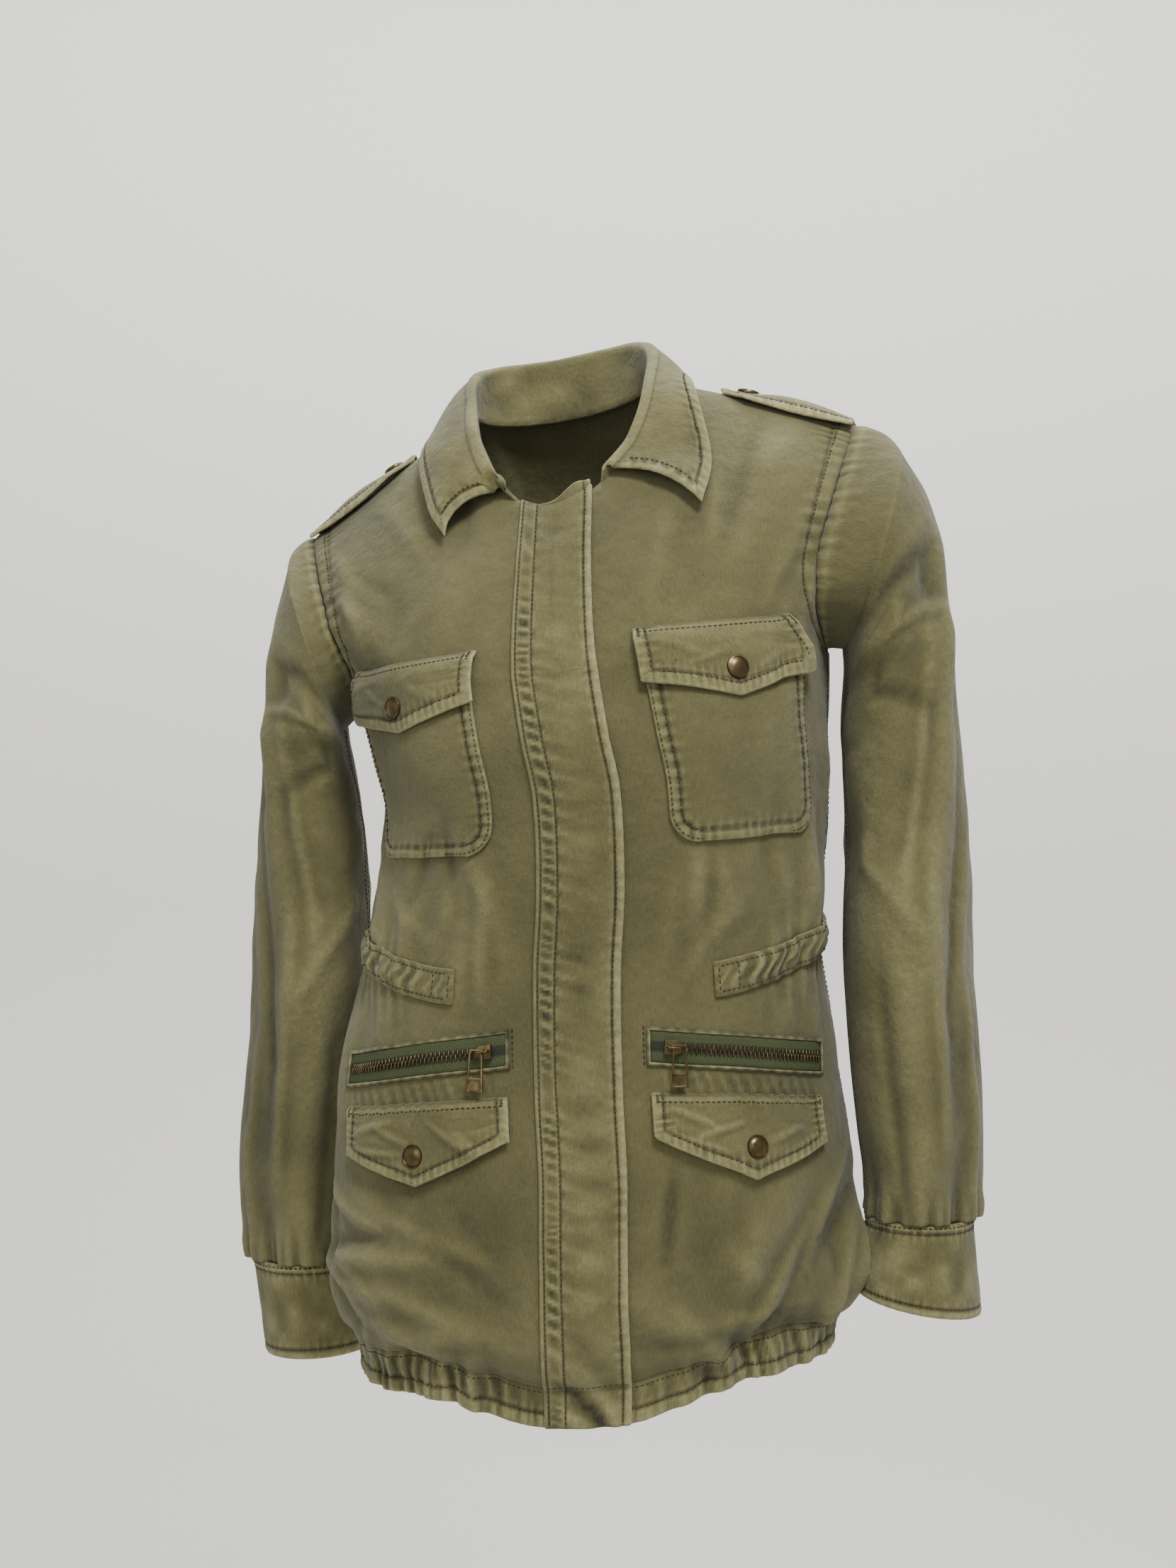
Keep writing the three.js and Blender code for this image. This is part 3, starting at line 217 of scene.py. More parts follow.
SMALL_FOLDS = np.concatenate([
    small_folds(1, 14, (50, 215), (-632, -535), 42, 78, 4.8),
    small_folds(2, 15, (-215, -50), (-632, -535), -76, 90, 5.2),
    small_folds(3, 10, (60, 200), (-400, -310), 8, 60, 2.9),
    small_folds(4, 10, (-200, -60), (-400, -310), -8, 60, 2.9),
    small_folds(5, 7, (60, 190), (-135, -70), 24, 50, 2.2),
    small_folds(6, 7, (-190, -60), (-135, -70), -30, 50, 2.3),
    small_folds(7, 12, (240, 460), (-632, -480), 12, 70, 2.4),
    small_folds(8, 12, (-460, -240), (-632, -480), -12, 70, 2.4),
    small_folds(9, 8, (-440, -230), (-330, -120), -20, 60, 1.8),
    small_folds(10, 8, (230, 440), (-330, -120), 20, 60, 1.8),
    small_folds(11, 5, (150, 215), (-300, -200), 10, 60, 1.8),
    small_folds(12, 5, (-215, -150), (-300, -200), -10, 60, 1.8),
]).T
for column, more in zip(BODY_FOLDS, SMALL_FOLDS):
    BODY_FOLDS[column] = np.concatenate([BODY_FOLDS[column], more])


def section_at(rows, value):
    """Every column at a value of the table's first one, on a smooth curve through the rows."""
    keys = rows[next(iter(rows))]
    sign = 1 if keys[-1] > keys[0] else -1
    last = len(keys) - 1
    low = np.clip(np.searchsorted(sign * keys, sign * np.asarray(value, float)) - 1, 0, last - 1)
    high = low + 1
    before = np.maximum(low - 1, 0)
    after = np.minimum(high + 1, last)
    span = keys[high] - keys[low]
    t = np.clip((value - keys[low]) / span, 0, 1)
    found = {}
    for name, column in rows.items():
        slope_low = (column[high] - column[before]) / (keys[high] - keys[before])
        slope_high = (column[after] - column[low]) / (keys[after] - keys[low])
        found[name] = (
            column[low] * (1 + 2 * t) * (1 - t) ** 2
            + slope_low * span * t * (1 - t) ** 2
            + column[high] * t * t * (3 - 2 * t)
            + slope_high * span * t * t * (t - 1)
        )
    return found


ARC = math.pi / 4 * (1 - np.cos(np.linspace(0, math.pi, 41)))
ARC_X = np.sin(ARC) ** (2 / RING_POWER)
ARC_Y = np.maximum(np.cos(ARC), 0) ** (2 / RING_POWER)


def quarter(half_width, depth, share):
    """A point of a quarter of a body section by share of its length, and that length."""
    half_width, depth, share = np.broadcast_arrays(half_width, depth, share)
    cells = np.hypot(half_width[..., None] * np.diff(ARC_X), depth[..., None] * np.diff(ARC_Y))
    lengths = np.concatenate([np.zeros(cells.shape[:-1] + (1,)), np.cumsum(cells, -1)], -1)
    wanted = np.clip(share, 0, 1) * lengths[..., -1]
    i = np.clip((lengths < wanted[..., None]).sum(-1), 1, len(ARC) - 1)
    before = np.take_along_axis(lengths, (i - 1)[..., None], -1)[..., 0]
    after = np.take_along_axis(lengths, i[..., None], -1)[..., 0]
    angle = mix(ARC[i - 1], ARC[i], (wanted - before) / (after - before))
    x = half_width * np.sin(angle) ** (2 / RING_POWER)
    y = depth * np.maximum(np.cos(angle), 0) ** (2 / RING_POWER)
    return x, y, lengths[..., -1]


def armhole_share(rise):
    return 0.72 + 0.28 * (1 - rise) ** 6


def column_power(share, behind):
    return np.where(behind, 1.9, mix(1.15, 1.7, share))


def top_edge(share, behind):
    """The neckline, then the shoulder seam, in the upright jacket."""
    angle = math.pi / 2 * np.clip(share / NECK_SHARE, 0, 1)
    depth = np.where(behind, NECK["back_depth"], -NECK["front_depth"])
    drop = np.where(behind, NECK["back_drop"], NECK["front_drop"])
    t = np.clip((share - NECK_SHARE) / (1 - NECK_SHARE), 0, 1)
    on_neck = share < NECK_SHARE
    cosine = np.maximum(np.cos(angle), 0)
    x = np.where(
        on_neck, NECK["half_width"] * np.sin(angle), mix(NECK["half_width"], SHOULDER["half_width"], t)
    )
    y = np.where(on_neck, NECK["ridge_y"] + depth * cosine, NECK["ridge_y"])
    z = np.where(on_neck, -drop * cosine**1.3, -SHOULDER["drop"] * t**1.1)
    return x, y, z


def upright(side, around, up):
    """A point of the upright jacket: around is 0 at the centre front, 1 at the side and 2 behind. up
    is mm below the armpit where it is under 0, and else the share of the way to the top edge."""
    side, around, up = fields(side, around, up)
    behind = around > 1
    share = np.where(behind, 2 - around, around)
    row = section_at(BODY, ARMPIT + np.minimum(up, 0))
    depth = np.where(behind, row["back"], row["front"])
    power = column_power(share, behind)
    angle = math.pi / 2 * np.clip(up, 0, 1)
    rise = np.sin(angle) ** (2 / power)
    fall = np.maximum(np.cos(angle), 0) ** (2 / power)
    base_x, base_y, _ = quarter(row["half_width"], depth, share * armhole_share(rise))
    top_x, top_y, top_z = top_edge(share, behind)
    rising = HEM_RISE * ease((around - 0.08) / 0.42) - 3 * ease(around - 1)
    drawn = rising * np.clip(up / (HEM_SEAM - ARMPIT), 0, 1) ** 3
    x = side * mix(base_x, top_x, rise)
    y = top_y + (np.where(behind, base_y, -base_y) - top_y) * fall
    z = mix(ARMPIT, top_z, rise) + np.minimum(up, 0) + drawn
    return np.stack([x, y, z], -1)


def turned(points, angle):
    """Points turned about Z; the angle may differ from point to point."""
    sine, cosine = np.sin(angle), np.cos(angle)
    x, y = points[..., 0], points[..., 1]
    return np.stack([x * cosine - y * sine, x * sine + y * cosine, points[..., 2]], -1)


def pose(points):
    """The wearer's stance: each level is turned, tipped and moved."""
    row = section_at(BODY, points[..., 2])
    yawed = turned(points, np.radians(row["yaw"]))
    roll = np.radians(row["roll"])
    x = row["shift_x"] + yawed[..., 0] * np.cos(roll)
    y = row["shift_y"] + yawed[..., 1]
    z = points[..., 2] + yawed[..., 0] * np.sin(roll)
    return turned(np.stack([x, y, z], -1), FRAME_TURN)


def posed(side, around, up):
    return pose(upright(side, around, up))


def girth_of(side, around, up):
    """How far a place on the body lies from the centre front, in mm round the cloth."""
    row = section_at(BODY, ARMPIT + np.minimum(up, 0))
    narrowing = armhole_share(np.sin(math.pi / 2 * np.clip(up, 0, 1)) ** 1.3)
    front = np.minimum(around, 1) * quarter(row["half_width"], row["front"], 1.0)[2] * narrowing
    back = np.maximum(around - 1, 0) * quarter(row["half_width"], row["back"], 1.0)[2]
    return side * (front + back)


def ripple(girth, pitch):
    """Gathers of an elastic or a drawstring, unevenly spaced."""
    return np.sin(girth / pitch * 2 * math.pi + 1.3 * np.sin(girth / 31) + 0.8 * np.sin(girth / 13))


def sharp_ripple(girth, pitch, seed=0):
    """Gathers with narrow crests and uneven heights."""
    wave = 0.5 + 0.5 * np.sin(girth / pitch * 2 * math.pi + 2.6 * noise(girth / (2.3 * pitch), 0, seed))
    return (wave**1.6 * 2 - 1) * (0.75 + 0.45 * noise(girth / (1.7 * pitch), 0.5, seed + 1))


def casing_level(around):
    to_side = mix(
        CASING["end_level"], CASING["side_level"], ease((around - CASING["right_end"]) / 0.55)
    )
    return mix(to_side, CASING["back_level"], ease(around - 0.9))


def hump(t):
    """A half wave: 0 up to 0 and from 1 on, and 1 halfway."""
    return np.sin(math.pi * np.clip(t, 0, 1))


def bell(offset):
    return np.exp(-(offset**2))


def creased(x, y, creases):
    """Height of straight creases from (x1, y1) to (x2, y2), which are lower at their ends."""
    height = np.zeros(np.broadcast(x, y).shape)
    for x1, y1, x2, y2, width, rise in creases:
        dx, dy = x2 - x1, y2 - y1
        length = math.hypot(dx, dy)
        along = ((x - x1) * dx + (y - y1) * dy) / length**2
        off = ((x - x1) * dy - (y - y1) * dx) / length
        beyond = np.maximum(0, np.maximum(-along, along - 1)) * length
        tapered = rise * (1 - TAPER * np.clip(2 * along - 1, -1, 1) ** 2)
        height += tapered * np.exp(-((off / width) ** 2) - (beyond / (FADE * width)) ** 2)
    return height


def clear_of_front(girth, gather):
    """0 beside the fly, where the cloth lies flat, and 1 where it is gathered."""
    return ease((np.abs(girth) - gather["clear_front"]) / 30)


def fold_height(girth, level):
    """How far the body's cloth stands out at its folds and gathers."""
    height = creased(girth, level, zip(*BODY_FOLDS.values()))
    reach = np.abs(girth)
    clear = clear_of_front(girth, HEM_GATHER)
    seam_offset = level - HEM_SEAM
    coarse = HEM_GATHER["height"] * ripple(girth, HEM_GATHER["pitch"])
    height += clear * bell(seam_offset / HEM_GATHER["reach"]) * coarse
    fine = HEM_FINE["height"] * sharp_ripple(girth + 0.12 * level, HEM_FINE["pitch"])
    height += clear * bell(seam_offset / HEM_FINE["reach"]) * fine
    # The casing draws the cloth in above it and below
    casing = mix(CASING["end_level"], CASING["side_level"], ease((reach - 85) / 130))
    gathers = sharp_ripple(girth + 0.1 * (level + 380), CASING_GATHER["pitch"], 3)
    drawn = clear_of_front(girth, CASING_GATHER) * CASING_GATHER["height"]
    height += drawn * bell((level - casing) / CASING_GATHER["reach"]) * gathers
    # Tucks between the hip zip and the flap below it
    under_zip = level - zip_level(reach) + ZIP["half"] + ZIP_TUCKS["below"]
    beside = ease((reach - ZIP["inner"] - 6) / 12) * ease((ZIP["outer"] - reach) / 12)
    tucks = sharp_ripple(girth + 0.3 * level, ZIP_TUCKS["pitch"], 23)
    height += beside * bell(under_zip / ZIP_TUCKS["reach"]) * tucks
    return height + slack(girth, level)


def slack(girth, level):
    """Soft waves that are left all over of washing and wearing, deepest below the waist."""
    low = ease((-400 - level) / 120)
    side = ease((np.abs(girth) - 90) / 90)
    strength = 0.6 + 0.5 * low + 0.35 * side * (1 - low)
    waves = 2.2 * noise(girth / 34 + level / 190, level / 88, 5) + 1.2 * noise(girth / 19, level / 34, 6)
    return strength * waves


def outward(surface, side, around, up):
    """Direction out of a surface that is a function of side, around and up."""
    around_step, up_step, share_step, highest = 0.004, 1.5, 0.008, 0.97
    behind = around > 1
    before = np.maximum(around - around_step, np.where(behind, 1.00001, 0))
    after = np.minimum(around + around_step, np.where(behind, 2, 1))
    above = up > 0
    high = np.where(above, np.minimum(up, highest), up)
    low = np.where(above, np.maximum(high - share_step, 0), up - up_step)
    across = surface(side, after, up) - surface(side, before, up)
    rising = surface(side, around, high) - surface(side, around, low)
    return unit(np.cross(across, rising) * np.asarray(side, float)[..., None])


def unit(vectors):
    return vectors / np.maximum(np.linalg.norm(vectors, axis=-1, keepdims=True), 1e-9)


def body_cloth(side, around, up):
    """The outside of the body's cloth."""
    side, around, up = fields(side, around, up)
    girth = girth_of(side, around, up)
    level = upright(side, around, up)[..., 2]
    fading = (1 - np.maximum(up, 0) ** 6) * ease((2 - around) / 0.09)
    height = fading * fold_height(girth, level)
    return posed(side, around, up) + outward(posed, side, around, up) * height[..., None]


def body_place(girth, level):
    """Side, around and up of the place on the front at a girth and a level."""
    girth, level = fields(girth, level)
    side = np.where(girth < 0, -1.0, 1.0)
    distance = np.abs(girth)
    low = section_at(BODY, np.minimum(level, ARMPIT))
    front = quarter(low["half_width"], low["front"], 1.0)[2]
    back = quarter(low["half_width"], low["back"], 1.0)[2]
    around = np.where(distance < front, distance / front, 1 + (distance - front) / back)
    rise = np.zeros(girth.shape)
    chest = section_at(BODY, float(ARMPIT))
    chest_front = quarter(chest["half_width"], chest["front"], 1.0)[2]
    above = level > ARMPIT
    for _ in range(3):
        yoke_around = distance / mix(armhole_share(rise) * chest_front, NECKLINE_SPREAD, rise)
        top = top_edge(np.clip(yoke_around, 0, 1), False)[2]
        rise = np.clip((level - ARMPIT) / (top - ARMPIT), 0, 1)
    around = np.where(above, yoke_around, around)
    share = np.arcsin(rise ** (column_power(around, False) / 2)) / (math.pi / 2)
    up = np.where(above, share, np.minimum(level - ARMPIT, 0))
    return side, around, up


def lifted(side, around, up, lift):
    """The body's cloth, lifted off it."""
    out = outward(body_cloth, side, around, up)
    return body_cloth(side, around, up) + out * np.asarray(lift, float)[..., None]


def on_body(girth, level, lift):
    """The body's cloth at a girth and a level, lifted off it."""
    return lifted(*body_place(girth, level), lift)


def fly_scale(up):
    """Girth of a whole quarter at the scale that holds beside the centre front."""
    row = section_at(BODY, ARMPIT + np.minimum(up, 0))
    whole = quarter(row["half_width"], row["front"], 1.0)[2]
    rise = np.sin(math.pi / 2 * np.clip(up, 0, 1)) ** (2 / column_power(0.1, False))
    return mix(armhole_share(rise) * whole, NECKLINE_SPREAD, rise)


# Meshes


def grid_normals(grid, closed=False):
    """Directions out of a grid whose columns run to the right and rows upwards, from outside."""
    if closed:
        across = np.roll(grid, -1, 1) - np.roll(grid, 1, 1)
    else:
        across = np.gradient(grid, axis=1)
    return unit(np.cross(across, np.gradient(grid, axis=0)))


def mesh_piece(name, points, quads, uv=None, wear_and_shade=None, material=None, triangles=()):
    """A piece from points in mm and numbered faces; uv is by face corner, and wear_and_shade by point: rubbed
    dye with painted light and shade.
    """
    quads = np.asarray(quads, np.int32).reshape(-1, 4)
    triangles = np.asarray(triangles, np.int32).reshape(-1, 3)
    corners = np.concatenate([quads.ravel(), triangles.ravel()])
    starts = np.concatenate([np.arange(len(quads)) * 4, len(quads) * 4 + np.arange(len(triangles)) * 3])
    mesh = bpy.data.meshes.new(name)
    mesh.vertices.add(len(points))
    mesh.vertices.foreach_set("co", (np.asarray(points, np.float32) * MM).ravel())
    mesh.loops.add(len(corners))
    mesh.loops.foreach_set("vertex_index", corners)
    mesh.polygons.add(len(starts))
    mesh.polygons.foreach_set("loop_start", starts.astype(np.int32))
    mesh.update(calc_edges=True)
    mesh.validate()
    mesh.shade_smooth()
    if uv is not None:
        layer = mesh.uv_layers.new(name="UVMap")
        layer.data.foreach_set("uv", np.asarray(uv, np.float32).ravel())
    if wear_and_shade is not None:
        attribute = mesh.attributes.new("wear_and_shade", "FLOAT", "POINT")
        attribute.data.foreach_set("value", np.asarray(wear_and_shade, np.float32).ravel())
    piece = bpy.data.objects.new(name, mesh)
    bpy.context.scene.collection.objects.link(piece)
    if material is not None:
        mesh.materials.append(material)
    return piece


BEND_WEAR_AND_SHADE = 3.5  # wear and painted shade times a bend's radius in mm
MOST_WEAR_AND_SHADE = 0.35


def cells(rows, columns):
    """Row and column numbers of every cell of a grid."""
    r, c = np.meshgrid(np.arange(rows), np.arange(columns), indexing="ij")
    return r.ravel(), c.ravel()


class Cloth:
    """A grid of outer points of a wall of cloth, in mm, with what is sewn on it."""

    def __init__(self, grid, closed=False):
        self.grid = np.asarray(grid, float)
        self.closed = closed
        self.wear_and_shade = np.zeros(self.grid.shape[:2])
        self.normals = grid_normals(self.grid, closed)

    def emboss(self, relief, wear_and_shade):
        """Moves the outer points out by a relief in mm, and notes where the cloth is lighter or darker:
        rubbed dye, with painted light on raised parts and painted shade in troughs.
        """
        self.grid = self.grid + self.normals * np.asarray(relief)[..., None]
        self.wear_and_shade = self.wear_and_shade + wear_and_shade
        self.normals = grid_normals(self.grid, self.closed)

    def spans(self):
        """Lengths along the rows and up the columns, in mm from the first column and row."""
        grid = self.grid
        if self.closed:
            grid = np.concatenate([grid, grid[:, :1]], 1)
        across = np.linalg.norm(np.diff(grid, axis=1), axis=2).mean(0)
        upwards = np.linalg.norm(np.diff(grid, axis=0), axis=2)
        u = np.concatenate([[0], np.cumsum(across)])
        v = np.concatenate([np.zeros((1, grid.shape[1])), np.cumsum(upwards, 0)])
        return np.broadcast_to(u, grid.shape[:2]), v

    def at(self, rows, columns):
        """Points and directions at fractional rows and columns."""
        rows, columns = fields(rows, columns)
        height, width = self.grid.shape[:2]
        r = np.clip(np.floor(rows).astype(int), 0, height - 2)
        c = np.floor(columns).astype(int)
        c = c % width if self.closed else np.clip(c, 0, width - 2)
        next_c = (c + 1) % width
        tr = np.clip(rows - r, 0, 1)[..., None]
        tc = (columns - np.floor(columns) if self.closed else np.clip(columns - c, 0, 1))[..., None]

        def value(field):
            low = mix(field[r, c], field[r, next_c], tc)
            high = mix(field[r + 1, c], field[r + 1, next_c], tc)
            return mix(low, high, tr)

        return value(self.grid), unit(value(self.normals))

    def near(self, axis, distance, last, lines):
        """Fractional rows (axis 0) or columns (axis 1) at a distance from the first or last one."""
        steps = np.linalg.norm(np.diff(self.grid, axis=axis), axis=2)
        steps = np.moveaxis(steps, axis, 1)
        lengths = np.concatenate([np.zeros((len(steps), 1)), np.cumsum(steps, 1)], 1)
        chosen = lengths[np.clip(np.round(lines).astype(int), 0, len(lengths) - 1)]
        index = np.arange(lengths.shape[1])
        wanted = chosen[:, -1] - distance if last else np.full(len(chosen), float(distance))
        return np.array([np.interp(place, line, index) for place, line in zip(wanted, chosen)])

    def ridges(self):
        """Where the cloth bends outwards (+) or inwards (-): outward bends are lightened as rubbed dye and
        painted light, inward bends darkened as painted shade.
        """
        grid = self.grid
        if self.closed:
            grid = np.concatenate([grid[:, -1:], grid, grid[:, :1]], 1)
        bend = np.zeros(grid.shape)
        for axis in (0, 1):
            lines = np.moveaxis(grid, axis, 0)
            step = ((lines[2:] - lines[:-2]) ** 2).sum(-1, keepdims=True) / 4
            middle = 2 * lines[1:-1] - lines[:-2] - lines[2:]
            np.moveaxis(bend, axis, 0)[1:-1] += middle / np.maximum(step, 1)
        bend = bend[:, 1:-1] if self.closed else bend
        return np.clip((bend * self.normals).sum(-1) * BEND_WEAR_AND_SHADE, -MOST_WEAR_AND_SHADE, MOST_WEAR_AND_SHADE)

    def wall(self, name, thickness, material, rubbed_and_painted_light):
        """The closed wall: its inside lies its thickness within, and its rims are rounded."""
        # Ridges lighter (rubbed dye and painted light), hollows darker (painted shade).
        self.wear_and_shade = self.wear_and_shade + rubbed_and_painted_light * self.ridges()
        outer = self.grid
        inner = outer - self.normals * thickness
        rows, cols = outer.shape[:2]
        rounding = 0.42 * thickness
        rising = unit(np.gradient(outer, axis=0))
        low_rim = (outer[0] + inner[0]) / 2 - rising[0] * rounding
        high_rim = (outer[-1] + inner[-1]) / 2 + rising[-1] * rounding
        parts = [outer.reshape(-1, 3), inner.reshape(-1, 3), low_rim, high_rim]
        wear_and_shade_parts = [self.wear_and_shade.ravel(), self.wear_and_shade.ravel() * 0, self.wear_and_shade[0] + 0.5, self.wear_and_shade[-1] + 0.5]
        u, v = self.spans()
        count = rows * cols
        span = cols if self.closed else cols - 1
        r, c = cells(rows - 1, span)

        def numbers(row, column):
            return row * cols + column % cols

        quads, corner_uv = [], []

        def add(numbered, places):
            quads.append(np.stack(numbered, -1))
            corner_uv.append(np.stack([np.stack([u[p], v[p]], -1) for p in places], 1))

        cell = [(r, c), (r, c + 1), (r + 1, c + 1), (r + 1, c)]
        add([numbers(*p) for p in cell], cell)
        back_cell = [cell[0], cell[3], cell[2], cell[1]]
        add([count + numbers(*p) for p in back_cell], back_cell)
        c = np.arange(span)
        first, last = np.zeros(span, int), np.full(span, rows - 1)
        low, high = 2 * count + c % cols, 2 * count + cols + c % cols
        low_next, high_next = 2 * count + (c + 1) % cols, 2 * count + cols + (c + 1) % cols
        bottom = [(first, c), (first, c + 1), (first, c + 1), (first, c)]
        top = [(last, c), (last, c + 1), (last, c + 1), (last, c)]
        add([low, low_next, numbers(first, c + 1), numbers(first, c)], bottom)
        add([count + numbers(first, c), count + numbers(first, c + 1), low_next, low], bottom)
        add([numbers(last, c), numbers(last, c + 1), high_next, high], top)
        add([high, high_next, count + numbers(last, c + 1), count + numbers(last, c)], top)
        if not self.closed:
            across = unit(np.gradient(outer, axis=1))
            parts.append((outer[:, 0] + inner[:, 0]) / 2 - across[:, 0] * rounding)
            parts.append((outer[:, -1] + inner[:, -1]) / 2 + across[:, -1] * rounding)
            wear_and_shade_parts += [self.wear_and_shade[:, 0] + 0.5, self.wear_and_shade[:, -1] + 0.5]
            r = np.arange(rows - 1)
            zero, end = np.zeros(rows - 1, int), np.full(rows - 1, cols - 1)
            left = 2 * count + 2 * cols + r
            right = left + rows
            left_side = [(r, zero), (r, zero), (r + 1, zero), (r + 1, zero)]
            right_side = [(r, end), (r, end), (r + 1, end), (r + 1, end)]
            add([left, numbers(r, zero), numbers(r + 1, zero), left + 1], left_side)
            add([count + numbers(r, zero), left, left + 1, count + numbers(r + 1, zero)], left_side)
            add([numbers(r, end), right, right + 1, numbers(r + 1, end)], right_side)
            add([right, count + numbers(r, end), count + numbers(r + 1, end), right + 1], right_side)
            for row, column, rim, side_rim, flip in (
                (0, 0, 2 * count, 2 * count + 2 * cols, False),
                (0, cols - 1, 2 * count + cols - 1, 2 * count + 2 * cols + rows, True),
                (rows - 1, 0, 2 * count + cols, 2 * count + 2 * cols + rows - 1, True),
                (rows - 1, cols - 1, 2 * count + 2 * cols - 1, 2 * count + 2 * cols + 2 * rows - 1, False),
            ):
                corner = row * cols + column
                face = [corner, side_rim, count + corner, rim]
                place = (np.array([row]), np.array([column]))
                add([np.array([k]) for k in (face[::-1] if flip else face)], [place] * 4)
        points, faces, wear_and_shade = np.concatenate(parts), np.concatenate(quads), np.concatenate(wear_and_shade_parts)
        return mesh_piece(name, points, faces, np.concatenate(corner_uv) * MM, wear_and_shade, material)


# Thread

STITCH = dict(pitch=3.4, length=2.7, radius=0.5, sunk=0.3)
TACK_PITCH = 1.3  # of the dense stitches at a flap's corners


class Thread:
    """Rows of stitches that become one mesh."""

    def __init__(self):
        self.points = []
        self.count = 0

    def row(self, path, normals, pitch=STITCH["pitch"]):
        steps = np.linalg.norm(np.diff(path, axis=0), axis=1)
        along = np.concatenate([[0], np.cumsum(steps)])
        count = int(along[-1] // pitch)
        if count < 1:
            return
        middles = (np.arange(count) + 0.5) * (along[-1] / count)
        half = STITCH["length"] / 2 * pitch / STITCH["pitch"]

        def sample(field, at):
            return np.stack([np.interp(at, along, field[:, k]) for k in range(3)], -1)

        start, end = sample(path, middles - half), sample(path, middles + half)
        out = unit(sample(normals, middles))
        way = unit(end - start)
        across = np.cross(way, out)
        radius, sunk = STITCH["radius"], STITCH["sunk"]
        rings = []
        for t in (0.18, 0.82):
            middle = mix(start, end, t) + out * 0.2
            rings += [middle + way_out * radius for way_out in (across, out * 0.8, -across, -out)]
        stitch = np.stack([start - out * sunk] + rings + [end - out * sunk], 1)
        self.points.append(stitch.reshape(-1, 3))
        self.count += count

    def on(self, cloth, rows, columns, pitch=STITCH["pitch"]):
        path, normals = cloth.at(rows, columns)
        self.row(path, normals, pitch)

    def by_end(self, cloth, distance, last, columns):
        """A row of stitches at a distance from the cloth's first or last row."""
        self.on(cloth, cloth.near(0, distance, last, columns), columns)

    def by_side(self, cloth, distance, last, rows, pitch=STITCH["pitch"]):
        """A row of stitches at a distance from the cloth's first or last column."""
        self.on(cloth, rows, cloth.near(1, distance, last, rows), pitch)

    def piece(self, name, material):
        base = (np.arange(self.count) * 10)[:, None, None]
        sides = np.array([[1 + k, 1 + (k + 1) % 4, 5 + (k + 1) % 4, 5 + k] for k in range(4)])
        ends = [[0, 1 + (k + 1) % 4, 1 + k] for k in range(4)]
        ends += [[9, 5 + k, 5 + (k + 1) % 4] for k in range(4)]
        points = np.concatenate(self.points)
        return mesh_piece(name, points, base + sides, triangles=base + np.array(ends), material=material)


# Materials


def srgb(text):
    """A hex colour as linear light."""
    channels = [int(text[i : i + 2], 16) / 255 for i in (1, 3, 5)]
    return [c / 12.92 if c <= 0.04045 else ((c + 0.055) / 1.055) ** 2.4 for c in channels] + [1.0]


def feed(material, made, inputs):
    """Sets a node's inputs, each to a value or to the output of another node."""
    for key, given in inputs.items():
        if isinstance(given, bpy.types.NodeSocket):
            material.node_tree.links.new(given, made.inputs[key])
        else:
            made.inputs[key].default_value = given


def new_material(name, color, roughness, metallic=0.0):
    material = bpy.data.materials.new(name)
    material.use_nodes = True
    shader = material.node_tree.nodes["Principled BSDF"]
    feed(material, shader, {"Base Color": srgb(color), "Roughness": roughness, "Metallic": metallic})
    return material, shader


def node(material, kind, inputs, output=0, **settings):
    """Adds a node with its settings and inputs, and returns one of its outputs."""
    made = material.node_tree.nodes.new("ShaderNode" + kind)
    for key, value in settings.items():
        setattr(made, key, value)
    feed(material, made, inputs)
    return made.outputs[output]


def result(material, operation, *inputs):
    return node(material, "Math", dict(enumerate(inputs)), operation=operation)


def blotches(material, places, scale, detail=2.0, roughness=0.5):
    inputs = {"Vector": places, "Scale": scale, "Detail": detail, "Roughness": roughness}
    return node(material, "TexNoise", inputs, "Fac")


def placed(material, kind):
    """Where on the object (Object) or in the cloth's own metres (UV) a point lies."""
    return node(material, "TexCoord", {}, kind)


def ramp(material, factor, stops):
    """Colours along a factor, as [(place, hex colour)]."""
    made = material.node_tree.nodes.new("ShaderNodeValToRGB")
    feed(material, made, {"Fac": factor})
    elements = made.color_ramp.elements
    elements[0].position, elements[0].color = stops[0][0], srgb(stops[0][1])
    elements[1].position, elements[1].color = stops[-1][0], srgb(stops[-1][1])
    for place, color in stops[1:-1]:
        elements.new(place).color = srgb(color)
    return made.outputs["Color"]


# Cotton twill, garment-dyed: the dye has worn off ridges and edges, which are lighter, partly as painted
# light; the troughs are darker as painted shade
TWILL_PITCH = 1.3 * MM  # real ribs are about 0.7 mm apart, which no render here would show
TWILL_DEPTH = 0.1 * MM
WAVE_PERIOD = 0.314  # of a Wave texture at scale 1


